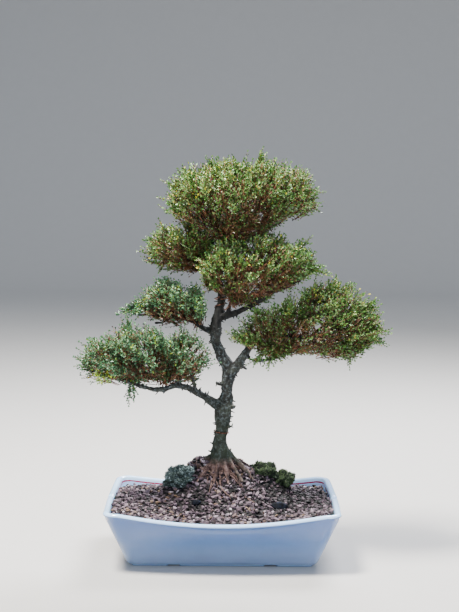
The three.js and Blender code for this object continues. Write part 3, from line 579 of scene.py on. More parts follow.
wood = {"voxel": 0.88, "smoothing": 5, "swell": 0.25, "trunkCore": 9, "trunkReach": 20, "trunkTop": 330,
        "burr": {"size": 8, "height": 2.0}, "plate": {"size": 3.4, "height": 1.4},
        "scale": {"size": 1.4, "height": 0.35}, "stretch": 0.6, "limbShare": 0.42,
        "rootLine": 104, "rootFade": 8, "washedTo": 12, "washedRight": 0.55}
spurs = {"count": 230, "heights": (108, 325), "length": (1.4, 4.2), "radius": 0.75, "taper": (1.4, 1, 0.45),
         "knee": 0.4, "bend": 0.25, "sides": 5, "splay": 0.5, "seed": 9}
rootlets = {"count": 24, "radius": (1.5, 0.5), "reach": (20, 40), "steps": 14, "sides": 6, "start": 104,
            "collar": 6, "arc": 4.2, "clear": 2.2, "heave": 1.2, "dive": 4, "wander": 0.75, "seed": 21}
trunkLine = [(64, -3, 2), (120, -3, -1), (165, 3, 0), (192, 6, 3), (230, -9, 0), (265, -4, 3),
             (311, -8, 4), (333, 2, 4), (376, 17, 0)]  # height, and x and y of the trunk's middle there


def trunkMiddle(height):
    for lower, upper in zip(trunkLine, trunkLine[1:]):
        if height <= upper[0]:
            share = clamp((height - lower[0]) / (upper[0] - lower[0]))
            return [between(pair, share) for pair in zip(lower[1:], upper[1:])]
    return trunkLine[-1][1:]


def barkLift(p):  # height of the bark's relief at a point: full on the trunk, less on the limbs
    x, y = trunkMiddle(p.z)
    core = wood["trunkCore"]
    near = 1 - clamp((hypot(p.x - x, p.y - y) - core) / (wood["trunkReach"] - core))
    share = wood["limbShare"] + (1 - wood["limbShare"]) * near * (p.z < wood["trunkTop"])
    stretched = Vector((p.x, p.y, p.z * wood["stretch"]))
    lift = wood["burr"]["height"] * noise.noise(stretched / wood["burr"]["size"]) * share
    ridge = 0.5 - abs(noise.noise(stretched / wood["plate"]["size"] + Vector((7, 3, 1))))
    lift += wood["plate"]["height"] * (ridge - 0.3) * share
    return lift + wood["scale"]["height"] * noise.noise(p / wood["scale"]["size"])


def makeWood():
    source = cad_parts["trunk_and_branches"]
    bm = bmesh.new()
    bm.from_mesh(source.data)
    bmesh.ops.remove_doubles(bm, verts=bm.verts, dist=0.001 * mm)
    helper = addObject("wood_helper", keepMesh("wood_helper", bm))
    remesh = helper.modifiers.new("remesh", "REMESH")
    remesh.mode, remesh.voxel_size = "VOXEL", wood["voxel"] * mm
    fine = modifiedMesh(helper)
    bpy.data.objects.remove(helper)
    bm = bmesh.new()
    bm.from_mesh(fine)
    for _ in range(wood["smoothing"]):
        bmesh.ops.smooth_vert(bm, verts=bm.verts, factor=0.5, use_axis_x=True, use_axis_y=True,
                              use_axis_z=True)
    bm.normal_update()
    rootness = bm.verts.layers.float.new("rootness")
    relief = bm.verts.layers.float.new("relief")
    moves = []
    for vert in bm.verts:
        p = vert.co / mm
        lift = barkLift(p)
        moves.append((vert, vert.normal * (lift + wood["swell"]) * mm))
        washed = 1 if p.x < wood["washedTo"] else wood["washedRight"]
        vert[rootness] = clamp((wood["rootLine"] - p.z) / wood["rootFade"]) * washed
        vert[relief] = clamp(0.5 + lift * 0.4)
    for vert, move in moves:
        vert.co += move
    extra = bmesh.new()
    growSpurs(extra, [(vert.co.copy(), vert.normal.copy()) for vert in bm.verts])
    growRootlets(extra)
    bm.from_mesh(keepMesh("spurs_and_rootlets", extra))
    return bm


def growSpurs(bm, skin):  # broken twiglets and knobs all over the bark
    rnd = random.Random(spurs["seed"])
    relief = bm.verts.layers.float.new("relief")
    low, high = spurs["heights"]
    skin = [(place, out) for place, out in skin if low * mm < place.z < high * mm]
    for _ in range(spurs["count"]):
        place, out = rnd.choice(skin)
        length = rnd.uniform(*spurs["length"])
        way = (out + anyWay(rnd) * spurs["splay"]).normalized()
        radius = spurs["radius"] * rnd.uniform(0.7, 1.3)
        places = [place - way * mm, place + way * length * spurs["knee"] * mm,
                  place + (way + anyWay(rnd) * spurs["bend"]) * length * mm]
        route = [(place, radius * share * mm) for place, share in zip(places, spurs["taper"])]
        for vert in growRod(bm, route, spurs["sides"]):
            vert[relief] = 0.6


def growRootlets(bm):  # they wander down over the gravel from the trunk's foot
    rnd = random.Random(rootlets["seed"])
    rootness = bm.verts.layers.float.new("rootness")
    relief = bm.verts.layers.float["relief"]
    for i in range(rootlets["count"]):
        heading = -pi / 2 + (i / rootlets["count"] - 0.5) * rootlets["arc"] + rnd.uniform(-0.1, 0.1)
        reach = rnd.uniform(*rootlets["reach"])
        x, y = trunkMiddle(rootlets["start"])
        x, y = x + rootlets["collar"] * cos(heading), y + rootlets["collar"] * sin(heading)
        bluishGlazeAndShade = rnd.uniform(0.7, 1.2)
        route = []
        for k in range(rootlets["steps"] + 1):
            share = k / rootlets["steps"]
            radius = between(rootlets["radius"], share) * bluishGlazeAndShade
            height = soilHeight(x, y) + rootlets["clear"] + rootlets["heave"] * rnd.random()
            if k == rootlets["steps"]:
                height -= rootlets["dive"]
            route.append((Vector((x, y, max(height, rootlets["start"] * (1 - share * 3)))) * mm, radius * mm))
            heading += rnd.uniform(-1, 1) * rootlets["wander"]
            x += cos(heading) * reach / rootlets["steps"]
            y += sin(heading) * reach / rootlets["steps"]
        for vert in growRod(bm, route, rootlets["sides"]):
            vert[rootness] = 1
            vert[relief] = 0.4 + 0.4 * bluishGlazeAndShade


# Bark of a small tree, weathered: dark grey-green and rough, with soft bluish-grey lichen in patches,
# green algae towards the foot, brown between its plates and darker still where painted shade fills its
# hollows, and painted almost black in the shade of the heads; the front roots are washed bare, dull
# mauve-brown
bark, add, place = newMaterial("bark_weathered", {"Roughness": 0.85})
tone = add("TexNoise", {"Scale": 1 / (7 * mm), "Detail": 5, "Roughness": 0.6}, {"Vector": place})
tone = add("ValToRGB", {"stops": [
    (0.3, "#141310"), (0.45, "#262722"), (0.58, "#353a32"), (0.72, "#47453c")]}, {"Fac": tone})
# painted shade: the bark is darker where its relief sinks, over the browner colour between its plates
relief = add("Attribute", {"attribute_name": "relief"})
fissureToneAndShade = add("ValToRGB", {"stops": [
    (0.25, "#2e2823"), (0.5, "#a8a8a0"), (0.8, "#ffffff")]}, {"Fac": relief.outputs["Fac"]})
tone = add("Mix", {**multiply, "Factor": 0.8}, {"A": tone, "B": fissureToneAndShade})
patches = add("TexNoise", {"Scale": 1 / (3.2 * mm), "Detail": 5, "Roughness": 0.7}, {"Vector": place})
patches = add("ValToRGB", {"stops": [(0.5, "#000000"), (0.64, "#c0c0c0")]}, {"Fac": patches})
tone = add("Mix", {**colourMix, "B": "#737f83"}, {"Factor": patches, "A": tone})
low = add("SeparateXYZ", {}, {"Vector": place}).outputs["Z"]
foot = add("MapRange", {"From Min": 175 * mm, "From Max": 115 * mm}, {"Value": low})
algae = add("TexNoise", {"Scale": 1 / (9 * mm), "Detail": 4}, {"Vector": place})
algae = add("Math", {"operation": "MULTIPLY"}, {0: algae, 1: foot})
tone = add("Mix", {**colourMix, "B": "#27341c"}, {"Factor": algae, "A": tone})
upper = add("MapRange", {"From Min": 228 * mm, "From Max": 246 * mm, "To Max": 0.95}, {"Value": low})
tone = add("Mix", {**colourMix, "B": "#0d0c0a"}, {"Factor": upper, "A": tone})
rootTone = add("TexNoise", {"Scale": 1 / (4 * mm), "Detail": 4}, {"Vector": place})
rootTone = add("ValToRGB", {"stops": [
    (0.33, "#261815"), (0.5, "#573f38"), (0.73, "#86706a")]}, {"Fac": rootTone})
washed = add("Attribute", {"attribute_name": "rootness"})
tone = add("Mix", colourMix, {"Factor": washed.outputs["Fac"], "A": tone, "B": rootTone})
fissures = add("TexNoise", {"Scale": 1 / (1.1 * mm), "Detail": 4, "Roughness": 0.6}, {"Vector": place})
dress(bark, colour=tone, normal=add("Bump", {"Distance": 0.6 * mm, "Strength": 1.0}, {"Height": fissures}))

finishPiece("bark_trunk", makeWood(), [bark], "trunk_and_branches")


# Foliage: leafy sprays made once, and repeated over the heads

leaf = {"length": 3.7, "width": 2.0, "fold": 0.3, "cup": 0.3, "tilt": 0.85, "tilts": (0.6, 1.25),
        "sizes": (0.72, 1.1), "lastTilt": 0.5, "lastSize": 0.85,
        "shoulders": (0.34, 0.76), "halves": (0.36, 0.5)}  # near its foot and near its tip
spray = {"length": 20, "bare": 0.3, "pitch": 2.3, "foot": 0.5, "tip": 0.18, "kinds": 8, "sides": 3,
         "steps": 3, "bend": 0.14, "lift": 0.1, "whorl": 2.4, "splay": 0.75, "kept": 0.6,
         "sideTwigs": ((0.3, 9.5), (0.48, 8.5), (0.68, 6.5)),
         "tone": 0.46, "toneRise": 0.12, "toneSpread": 0.15}
sparse = {**spray, "kept": 0.36}
twiggy = {**spray, "length": 22, "foot": 0.6, "tip": 0.22, "kept": 0.3,
          "sideTwigs": ((0.15, 12), (0.32, 11), (0.5, 10), (0.66, 8))}
shoot = {**spray, "length": 25, "bare": 0.15, "kept": 0.85, "sideTwigs": ((0.3, 7), (0.5, 6))}
leader = {**spray, "length": 18, "bare": 0.05, "pitch": 2.0, "kept": 0.95, "sideTwigs": ((0.25, 7), (0.5, 6))}
branchlet = {"radius": (1.1, 0.5), "sides": 4, "steps": 6, "downhill": 0.4, "bow": 0.18, "wander": 0.7}

# Small living leaves with a waxy skin: a pale sky glint on each, from brown and dark green to yellow-green by
# age, with pale grey-green ones painted as sky highlights; the blue ones, for two of the left heads, are the
# same leaves painted in a bluer shade
leafColours = {
    "leaf_waxy": [
        (0.0, "#34200f"), (0.1, "#6a4122"), (0.19, "#645628"), (0.3, "#425f28"), (0.46, "#558236"),
        (0.6, "#6c9c44"), (0.72, "#85b062"), (0.82, "#9dbb85"), (0.91, "#bcc64a"), (1.0, "#dcd044")],
    "leaf_waxy_blue": [
        (0.0, "#2f2012"), (0.1, "#604228"), (0.19, "#50602e"), (0.3, "#385f3a"), (0.46, "#4f8253"),
        (0.6, "#6b9e6d"), (0.72, "#84b183"), (0.82, "#99bd8f"), (0.9, "#aed24a"), (1.0, "#cfe838")],
}
leafMaterials = {}
for name, stops in leafColours.items():
    leafMaterials[name], add, place = newMaterial(name, {
        "Roughness": 0.36, "Specular IOR Level": 0.5, "Subsurface Weight": 0.12, "Subsurface Scale": 1 * mm})
    ageAndLight = add("Attribute", {"attribute_name": "tint"})
    # the pale grey-green stop is a painted sky highlight; the tint also carries the heads' painted light
    leafColour = add("ValToRGB", {"stops": stops}, {"Fac": ageAndLight.outputs["Fac"]})
    mottle = add("TexNoise", {"Scale": 1 / (2.5 * mm), "Detail": 2}, {"Vector": place})
    mottle = add("ValToRGB", {"stops": [(0.35, "#a8a8a8"), (0.65, "#ffffff")]}, {"Fac": mottle})
    dress(leafMaterials[name], colour=add("Mix", {
        **multiply, "Factor": 0.7}, {"A": leafColour, "B": mottle}))

# Young twigs with thin bark: reddish brown to greyish pink, slightly satin
twigBark, add, place = newMaterial("twig_young_bark", {"Roughness": 0.6})
tone = add("TexNoise", {"Scale": 1 / (6 * mm), "Detail": 3}, {"Vector": place})
tone = add("ValToRGB", {"stops": [
    (0.35, "#2a160b"), (0.5, "#663c23"), (0.64, "#8f6345"), (0.78, "#a88c76")]}, {"Fac": tone})
fine = add("TexNoise", {"Scale": 1 / (0.8 * mm), "Detail": 2}, {"Vector": place})
dress(twigBark, colour=tone, normal=add("Bump", {"Distance": 0.1 * mm, "Strength": 0.5}, {"Height": fine}))


def addLeaf(bm, foot, along, face, size, tintHere):  # an obovate blade, folded a little along its midrib
    made = bmesh.ops.create_grid(bm, x_segments=2, y_segments=1, size=1)["verts"]
    across = along.cross(face).normalized()
    up = across.cross(along)
    tint = bm.verts.layers.float["tint"]
    for vert in made:
        u, v = round(vert.co.x), vert.co.y > 0
        reach = int(v) if u == 0 else leaf["shoulders"][v]
        half = u * leaf["halves"][v] * leaf["width"] / leaf["length"]
        rise = abs(half) * leaf["fold"] * 2 + leaf["cup"] * reach * (1 - reach)
        vert.co = foot + size * (along * reach + across * half + up * rise)
        vert[tint] = tintHere
    for face in {face for vert in made for face in vert.link_faces}:
        face.material_index = 1


def addTwig(bm, look, start, way, length, rnd):  # a twig with pairs of leaves, each pair turned a quarter
    bend = anyWay(rnd) * look["bend"] * length + Vector((0, 0, look["lift"] * length))

    def at(share):
        return start + way * share * length + bend * share * share

    route = []
    for i in range(look["steps"] + 1):
        share = i / look["steps"]
        radius = look["foot"] * length / look["length"] * (1 - share) + look["tip"] * share
        route.append((at(share), radius))
    for vert in growRod(bm, route, look["sides"]):
        vert[bm.verts.layers.float["tint"]] = 0.5
    side = way.orthogonal().normalized()
    turn = rnd.uniform(0, 6)
    count = max(int((1 - look["bare"]) * length / look["pitch"]), 2)
    for i in range(count + 1):
        share = look["bare"] + (1 - look["bare"]) * i / count
        turn += pi / 2 + rnd.uniform(-0.4, 0.4)
        for half in (0, pi):
            if rnd.random() > look["kept"]:
                continue
            out = Matrix.Rotation(turn + half + rnd.uniform(-0.3, 0.3), 3, way) @ side
            tilt = leaf["tilt"] * rnd.uniform(*leaf["tilts"]) * (1 if i < count else leaf["lastTilt"])
            along = (out * sin(tilt) + way * cos(tilt)).normalized()
            size = leaf["length"] * rnd.uniform(*leaf["sizes"]) * (1 if i < count else leaf["lastSize"])
            facing = (way - out * 0.4 + anyWay(rnd) * 0.5).normalized()
            tone = rnd.gauss(look["tone"] + look["toneRise"] * share, look["toneSpread"])
            addLeaf(bm, at(share), along, facing, size, clamp(tone, 0.02))
    return at


def makeSpray(seed, look):
    rnd = random.Random(seed)
    bm = bmesh.new()
    bm.verts.layers.float.new("tint")
    at = addTwig(bm, look, Vector((0, 0, 0)), Vector((0, 0, 1)), look["length"], rnd)
    heading = rnd.uniform(0, 6)
    for share, length in look["sideTwigs"]:
        heading += look["whorl"]
        way = Vector((look["splay"] * cos(heading), look["splay"] * sin(heading), 1)).normalized()
        addTwig(bm, look, at(share), way, length * rnd.uniform(0.8, 1.15), rnd)
    bmesh.ops.scale(bm, vec=(mm, mm, mm), verts=bm.verts)
    return keepMesh("spray", bm)


heads = {  # centre and reach along x, y and z: lobes, brown with bare twigs, and a patch painted lime as backlit
    "crown": {
        "node": "foliage_top", "seed": 11, "sprays": 960, "shoots": 260, "tint": 0.02, "leaves": "leaf_waxy",
        "lobes": [(17, 0, 376, 55, 50, 37), (-29, -5, 382, 33, 36, 28), (68, 5, 382, 31, 34, 28),
                  (-2, 17, 396, 36, 34, 22), (44, -12, 394, 36, 34, 23), (12, -6, 354, 38, 34, 18)],
        "tips": [(41, -2, 431), (53, 0, 421), (73, 2, 412), (88, 4, 397), (-63, -6, 395), (-41, -4, 411),
                 (-19, 8, 423), (2, 6, 421), (98, 0, 368)],
        "root": (6, -2, 330), "brown": (10, -34, 364, 58, 46, 37),
    },
    "centre_right": {
        "node": "foliage_center_right", "seed": 12, "sprays": 520, "shoots": 130, "tint": 0.0,
        "leaves": "leaf_waxy",
        "lobes": [(28, -30, 305, 38, 32, 25), (-2, -28, 303, 25, 24, 18), (66, -28, 311, 29, 28, 21),
                  (30, -30, 289, 25, 24, 12), (44, -24, 326, 32, 26, 15), (6, -18, 322, 24, 22, 16),
                  (26, -18, 278, 24, 16, 9)],
        "tips": [(87, -28, 339), (109, -26, 304)],
        "root": (8, -18, 278), "brown": (30, -48, 296, 56, 40, 26),
    },
    "upper_left": {
        "node": "foliage_upper_left", "seed": 13, "sprays": 260, "shoots": 75, "tint": -0.02,
        "leaves": "leaf_waxy",
        "lobes": [(-55, 13, 327, 28, 27, 22), (-30, 14, 324, 18, 20, 17), (-47, 10, 316, 20, 22, 13),
                  (-34, 8, 341, 24, 20, 14)],
        "tips": [(-84, 12, 336), (-70, 8, 301)],
        "root": (-22, 8, 308), "brown": (-45, -8, 319, 31, 28, 18),
    },
    "middle_left": {
        "node": "foliage_mid_left", "seed": 14, "sprays": 240, "shoots": 75, "tint": 0.02,
        "leaves": "leaf_waxy_blue",
        "lobes": [(-63, 8, 270, 28, 28, 19), (-36, 9, 268, 17, 19, 17), (-60, 8, 280, 19, 20, 13)],
        "tips": [(-106, 3, 263), (-112, 3, 258), (-100, 2, 254)],
        "root": (-24, 6, 246), "brown": (-56, -10, 261, 34, 26, 15),
    },
    "right": {
        "node": "foliage_right", "seed": 15, "sprays": 690, "shoots": 200, "tint": 0.0,
        "leaves": "leaf_waxy",
        "lobes": [(99, -14, 247, 46, 40, 29), (54, -14, 250, 29, 28, 21), (134, -8, 246, 34, 34, 27),
                  (112, -8, 268, 36, 34, 24), (127, -12, 227, 28, 26, 13), (54, -18, 227, 21, 20, 17),
                  (28, -14, 241, 20, 17, 13)],
        "tips": [(117, -8, 297), (157, -8, 273), (171, -10, 242), (170, -12, 226), (132, -12, 205),
                 (29, -14, 206), (47, -16, 204), (62, -18, 211), (80, -12, 283), (98, -10, 289),
                 (22, -12, 266)],
        "root": (52, -14, 222), "brown": (86, -44, 244, 60, 38, 25),
    },
    "lower_left": {
        "node": "foliage_lower_left", "seed": 16, "sprays": 600, "shoots": 180, "tint": -0.02,
        "leaves": "leaf_waxy_blue",
        "lobes": [(-93, -18, 215, 40, 37, 27), (-125, -14, 208, 28, 28, 26), (-48, -14, 214, 29, 27, 23),
                  (-98, -14, 231, 32, 30, 18), (-35, -18, 202, 19, 18, 13)],
        "tips": [(-152, -16, 204), (-103, -14, 252), (-41, -12, 244), (-100, -26, 167)],
        "root": (-62, -16, 190), "brown": (-72, -44, 202, 50, 32, 16), "backlitLime": (-130, -34, 190, 16, 20, 13),
    },
}
tufts = {"swell": 0.42, "size": 16, "gap": -0.14, "apart": 0.12, "skin": (0.76, 1.0), "inside": (0.45, 0.8),
         "outside": (0.98, 1.18), "branches": (0.35, 0.7), "perBranch": 6, "innerEvery": 5, "fan": 1.0,
         "out": 0.3, "up": 0.35, "loose": 0.3, "deepest": 0.96, "slack": 0.08}
groups = {"together": 3, "lowest": -0.3, "spread": 0.16, "step": 3, "shift": 2}  # of long shoots
tips = {"sprays": 8, "step": 3, "shift": 1.5, "spread": 0.14}  # sprays towards a tip that sticks out
bareness = {"shown": 0.45, "hidden": -0.15, "twiggy": 0.75, "sparse": 0.6}  # how bare the sprays are
tints = {"spread": 0.07, "brown": -0.27, "inner": -0.12, "rise": 0.1, "backlitLime": 0.46, "tips": 0.05,
         "shoots": (0.04, 0.08)}


def lobeDepth(lobe, p):  # 0 at the middle of a lobe, 1 on its skin
    return sqrt(sum(((p[i] - lobe[i]) / lobe[i + 3]) ** 2 for i in range(3)))


def headDepth(head, p):
    return min(lobeDepth(lobe, p) for lobe in head["lobes"])


def belongs(head, p):  # no other head reaches deeper here
    own = headDepth(head, p)
    return all(other is head or headDepth(other, p) > own - tufts["apart"] for other in heads.values())


def pickPlace(head, rnd, depths):  # a point of the head at a random depth, with the way out of it
    weights = [lobe[3] * lobe[4] + lobe[4] * lobe[5] + lobe[3] * lobe[5] for lobe in head["lobes"]]
    while True:
        lobe = rnd.choices(head["lobes"], weights)[0]
        way = anyWay(rnd)
        middle = Vector(lobe[:3])
        skin = Vector([way[i] * lobe[i + 3] for i in range(3)])
        lump = noise.noise((middle + skin) / tufts["size"])
        if lump < tufts["gap"]:
            continue
        depth = rnd.uniform(*depths)
        p = middle + skin * depth * (1 + tufts["swell"] * lump)
        inmost = min(depth, tufts["deepest"]) * (1 + tufts["swell"] * lump) - tufts["slack"]
        if headDepth(head, p) > inmost and belongs(head, p):
            return p, Vector([way[i] / lobe[i + 3] for i in range(3)]).normalized()


def growthWay(head, rnd, tip, out):  # sprays fan out from the head's root
    fan = (tip - Vector(head["root"])).normalized() * tufts["fan"]
    way = fan + out * tufts["out"] + anyWay(rnd) * tufts["loose"] + Vector((0, 0, tufts["up"]))
    return way.normalized()


def growBranchlets(bm, head, rnd, ends):  # thin wood from the limbs to the sprays
    limbs = [v.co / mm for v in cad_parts["trunk_and_branches"].data.vertices]
    limbs = [p for p in limbs if headDepth(head, p) < 1]
    for end in ends:
        start = min(limbs, key=lambda p: (p - end).length + branchlet["downhill"] * max(p.z - end.z, 0))
        middle = (start + end) / 2 + anyWay(rnd) * (end - start).length * branchlet["bow"]
        route = []
        for i in range(branchlet["steps"] + 1):
            s = i / branchlet["steps"]
            place = start * (1 - s) ** 2 + middle * 2 * s * (1 - s) + end * s * s
            place += anyWay(rnd) * branchlet["wander"]
            route.append((place * mm, between(branchlet["radius"], s) * mm))
        growRod(bm, route, branchlet["sides"])


def makeHead(head, kinds):
    rnd = random.Random(head["seed"])
    bm = bmesh.new()
    bm.verts.layers.float.new("tint")
    branchletCount = head["sprays"] // tufts["perBranch"]
    growBranchlets(bm, head, rnd, [pickPlace(head, rnd, tufts["branches"])[0] for _ in range(branchletCount)])
    middle, reach = head["lobes"][0][:3], head["lobes"][0][5]
    for i in range(head["sprays"]):
        inner = i % tufts["innerEvery"] == 0
        tip, out = pickPlace(head, rnd, tufts["inside" if inner else "skin"])
        along = growthWay(head, rnd, tip, out)
        brown = lobeDepth(head["brown"], tip) < rnd.uniform(0.6, 1.2)
        bare = rnd.random() + bareness["shown" if brown or inner else "hidden"]
        kind = "spray"
        if bare > bareness["twiggy"]:
            kind = "twiggy"
        elif bare > bareness["sparse"] or brown or inner:
            kind = "sparse"
        # painted light: sprays high in a head are lighter, as lit from above
        tint = head["tint"] + rnd.gauss(0, tints["spread"]) + tints["rise"] * (tip.z - middle[2]) / reach
        if brown or inner:
            tint += tints["brown" if brown else "inner"]
        # painted light: a patch of the lower left head is lifted to lime, as backlit
        if "backlitLime" in head and lobeDepth(head["backlitLime"], tip) < 1:
            tint += tints["backlitLime"]
        foot = tip - along * (twiggy if kind == "twiggy" else spray)["length"]
        addCopy(bm, rnd.choice(kinds[kind]), stand(foot, along, rnd), tint)
    for _ in range(head["shoots"] // groups["together"]):  # longer shoots stand out in small groups
        tip, out = pickPlace(head, rnd, tufts["outside"])
        if out.z < groups["lowest"]:
            continue
        group = growthWay(head, rnd, tip, out)
        for k in range(groups["together"]):
            along = (group + anyWay(rnd) * groups["spread"]).normalized()
            foot = tip - group * (shoot["length"] + groups["step"] * k) + anyWay(rnd) * groups["shift"]
            tint = head["tint"] + rnd.gauss(*tints["shoots"])
            addCopy(bm, rnd.choice(kinds["shoot"]), stand(foot, along, rnd), tint)
    for tip in head["tips"]:
        end = Vector(tip)
        near = min(head["lobes"], key=lambda lobe: lobeDepth(lobe, end))
        along = (end - Vector(near[:3])).normalized()
        for k in range(tips["sprays"]):
            loose = min(k, 2)
            foot = end - along * (leader["length"] + tips["step"] * k) + anyWay(rnd) * tips["shift"] * loose
            way = (along + anyWay(rnd) * tips["spread"] * loose).normalized()
            addCopy(bm, rnd.choice(kinds["leader"]), stand(foot, way, rnd), head["tint"] + tints["tips"])
    return bm


sprayLooks = {  # first seed and look of each kind
    "spray": (30, spray), "sparse": (50, sparse), "twiggy": (90, twiggy), "shoot": (70, shoot),
    "leader": (110, leader),
}
kinds = {name: [makeSpray(seed + k, look) for k in range(look["kinds"])]
         for name, (seed, look) in sprayLooks.items()}
for name, head in heads.items():
    look = [twigBark, leafMaterials[head["leaves"]]]
    finishPiece("leaves_" + name, makeHead(head, kinds), look, head["node"])


# Moss and stones on the gravel

lumps = {  # place and sink as in the CAD model, and reach along x, y and z
    "moss_left": {"x": -46, "y": -12, "reach": (16, 12, 12), "sink": -2, "seed": 201,
                  "moss": "moss_cushion_dry"},
    "moss_right": {"x": 43, "y": 14, "reach": (17, 12, 8), "sink": 2, "seed": 202,
                   "moss": "moss_cushion"},
    "moss_far_right": {"x": 66, "y": 12, "reach": (11, 10, 9), "sink": -1, "seed": 203,
                       "moss": "moss_cushion"},
    "stone_right": {"x": 59, "y": -39, "reach": (10, 7, 6), "sink": 2, "seed": 204},
    "stone_left": {"x": -29, "y": -42, "reach": (7, 5, 5), "sink": 2, "seed": 205},
}
mossTuft = {"length": 2.6, "width": 0.5, "count": 1500, "kinds": 4, "blades": 5, "fan": 0.7, "apart": 0.5,
            "sunk": 0.04, "lean": 0.5, "up": 0.3, "tint": (0.15, 0.2)}
cushion = {"swell": 0.9, "lump": 0.75, "lumpSize": 0.5, "buried": 2}
stoneShape = {"corners": 26, "rough": (0.82, 1.04), "bevel": 0.04}

# Cushion moss: damp, dark green at the foot of its tufts and paler at their tips, and the same moss dried
# and dusty, with bluish grey tips
mosses = {
    "moss_cushion": {"roughness": 0.9, "patch": 8, "detail": 3, "worn": "#6d6d6d", "tuft": [
        (0.0, "#11180e"), (0.3, "#2b3d22"), (0.6, "#495e36"), (0.8, "#6b8053"), (1.0, "#a2ad8e")]},
    "moss_cushion_dry": {"roughness": 0.95, "patch": 6, "detail": 4, "worn": "#6b7a68", "tuft": [
        (0.0, "#1c2526"), (0.25, "#4b5d57"), (0.5, "#788a87"), (0.75, "#a0afb4"), (1.0, "#c5d0d7")]},
}
mossMaterials = {}
for name, look in mosses.items():
    mossMaterials[name], add, place = newMaterial(name, {"Roughness": look["roughness"]})
    tip = add("Attribute", {"attribute_name": "tint"})
    mossColour = add("ValToRGB", {"stops": look["tuft"]}, {"Fac": tip.outputs["Fac"]})
    patches = add("TexNoise", {
        "Scale": 1 / (look["patch"] * mm), "Detail": look["detail"]}, {"Vector": place})
    patches = add("ValToRGB", {"stops": [(0.4, look["worn"]), (0.65, "#ffffff")]}, {"Fac": patches})
    dress(mossMaterials[name], colour=add("Mix", {
        **multiply, "Factor": 0.8}, {"A": mossColour, "B": patches}))

# Slate-like rock, broken and weathered: blue-black, with a dull gloss on its faces
darkStone, add, place = newMaterial("dark_rock_broken", {"Roughness": 0.8, "Specular IOR Level": 0.12})
tone = add("TexNoise", {"Scale": 1 / (3 * mm), "Detail": 5}, {"Vector": place})
tone = add("ValToRGB", {"stops": [(0.35, "#040509"), (0.6, "#0c111c"), (0.8, "#232a3a")]}, {"Fac": tone})
fine = add("TexNoise", {"Scale": 1 / (1.2 * mm), "Detail": 4}, {"Vector": place})
dress(darkStone, colour=tone, normal=add("Bump", {"Distance": 0.3 * mm, "Strength": 0.8}, {"Height": fine}))


def lumpMiddle(lump):
    height = soilHeight(lump["x"], lump["y"]) + lump["reach"][2] * 0.5 - lump["sink"]
    return Vector((lump["x"], lump["y"], height))


def makeMossTuft(rnd):  # a tuft of narrow blades
    bm = bmesh.new()
    tint = bm.verts.layers.float.new("tint")
    for _ in range(mossTuft["blades"]):
        way = (anyWay(rnd) * mossTuft["fan"] + Vector((0, 0, 1))).normalized()
        base = Matrix.Translation(anyWay(rnd) * mossTuft["apart"])
        turn = way.to_track_quat("Z", "Y").to_matrix().to_4x4()
        long = mossTuft["length"] * rnd.uniform(0.6, 1)
        made = bmesh.ops.create_cone(bm, segments=3, radius1=mossTuft["width"], radius2=0, depth=long,
                                     matrix=base @ turn @ Matrix.Translation((0, 0, long / 2)))["verts"]
        for vert in made:
            vert[tint] = 0.25 + 0.1 * (vert.co.z > long / 2)
    bmesh.ops.scale(bm, vec=(mm, mm, mm), verts=bm.verts)
    return keepMesh("moss_tuft", bm)


def mossSkin(lump, middle, way, sunk):  # the cushion's surface in a direction
    swell = cushion["swell"] - sunk + cushion["lump"] * noise.noise(way / cushion["lumpSize"] + middle)
    return middle + Vector([way[i] * lump["reach"][i] * swell for i in range(3)])


def makeMoss(lump):
    rnd = random.Random(lump["seed"])
    bm = bmesh.new()
    middle = lumpMiddle(lump)
    tint = bm.verts.layers.float.new("tint")
    for vert in bmesh.ops.create_icosphere(bm, subdivisions=4, radius=1)["verts"]:
        vert.co = mossSkin(lump, middle, vert.co.normalized(), 0) * mm
        vert[tint] = 0.1
    tuftKinds = [makeMossTuft(rnd) for _ in range(mossTuft["kinds"])]
    for _ in range(mossTuft["count"]):
        way = anyWay(rnd)
        foot = mossSkin(lump, middle, way, mossTuft["sunk"])
        if foot.z < soilHeight(foot.x, foot.y) - cushion["buried"]:
            continue
        along = (way + anyWay(rnd) * mossTuft["lean"] + Vector((0, 0, mossTuft["up"]))).normalized()
        addCopy(bm, rnd.choice(tuftKinds), stand(foot, along, rnd), rnd.gauss(*mossTuft["tint"]))
    return bm


def makeStone(lump):
    rnd = random.Random(lump["seed"])
    bm = bmesh.new()
    middle = lumpMiddle(lump)
    corners = range(stoneShape["corners"])
    makeHull(bm, [anyWay(rnd) * rnd.uniform(*stoneShape["rough"]) for _ in corners])
    bmesh.ops.bevel(bm, geom=bm.edges, offset=stoneShape["bevel"], affect="EDGES", segments=2, profile=0.5,
                    material=-1)
    for vert in bm.verts:
        vert.co = (middle + Vector([vert.co[i] * lump["reach"][i] for i in range(3)])) * mm
    faceOut(bm)
    return bm


for name, lump in lumps.items():
    if "moss" in lump:
        finishPiece(name + "_tufts", makeMoss(lump), [mossMaterials[lump["moss"]]], name)
    else:
        finishPiece(name + "_rock", makeStone(lump), [darkStone], name)


# Copper wires on the bark

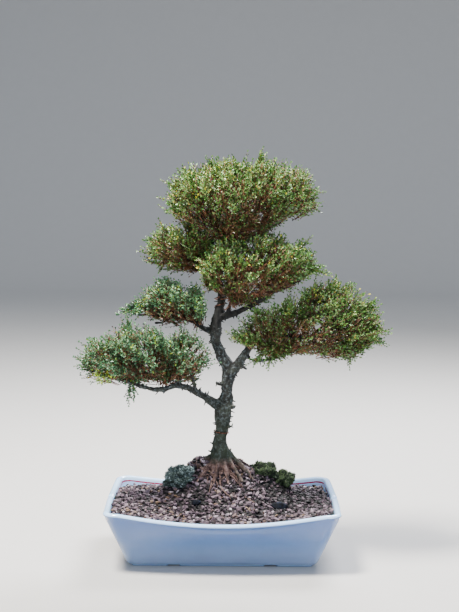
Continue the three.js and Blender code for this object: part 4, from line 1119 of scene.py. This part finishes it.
tieWire = {"height": 130.5, "middle": (-2, -1), "radius": 7.7, "thickness": 0.75, "tilt": 7, "sides": 8,
           "steps": 48}
trainingWire = {"height": (261, 281), "turns": 2.5, "radius": (5.6, 4.6), "thickness": 0.75,
                "perTurn": 28, "sides": 8}

# Copper wire, annealed and aged outdoors: brown-pink metal with a dull satin and darker stains
copper, add, place = newMaterial("copper_wire_annealed", {"Roughness": 0.42, "Metallic": 1.0})
tone = add("TexNoise", {"Scale": 1 / (3 * mm), "Detail": 3}, {"Vector": place})
dress(copper, colour=add("ValToRGB", {"stops": [
    (0.35, "#432c25"), (0.55, "#6b4a3c"), (0.75, "#8a6a5b")]}, {"Fac": tone}))


def makeTie():
    bm = bmesh.new()
    made = bmesh.ops.create_circle(bm, segments=tieWire["sides"], radius=tieWire["thickness"])["verts"]
    bmesh.ops.rotate(bm, verts=made, matrix=Matrix.Rotation(pi / 2, 3, "X"))
    bmesh.ops.translate(bm, verts=made, vec=(tieWire["radius"], 0, 0))
    bmesh.ops.spin(bm, geom=bm.edges[:], cent=(0, 0, 0), axis=(0, 0, 1), angle=2 * pi,
                   steps=tieWire["steps"], use_merge=True)
    bmesh.ops.remove_doubles(bm, verts=bm.verts, dist=0.01)
    bmesh.ops.rotate(bm, verts=bm.verts, matrix=Matrix.Rotation(radians(tieWire["tilt"]), 3, "Y"))
    bmesh.ops.translate(bm, verts=bm.verts, vec=(*tieWire["middle"], tieWire["height"]))
    bmesh.ops.scale(bm, vec=(mm, mm, mm), verts=bm.verts)
    faceOut(bm)
    return bm


def makeTraining():
    bm = bmesh.new()
    count = int(trainingWire["turns"] * trainingWire["perTurn"])
    route = []
    for i in range(count + 1):
        share = i / count
        height = between(trainingWire["height"], share)
        x, y = trunkMiddle(height)
        reach = between(trainingWire["radius"], share)
        angle = 2 * pi * i / trainingWire["perTurn"]
        place = Vector((x + reach * cos(angle), y + reach * sin(angle), height))
        route.append((place * mm, trainingWire["thickness"] * mm))
    growRod(bm, route, trainingWire["sides"])
    faceOut(bm)
    return bm


finishPiece("copper_tie", makeTie(), [copper], "tie_wire_lower")
finishPiece("copper_training_wire", makeTraining(), [copper], "training_wire_upper")
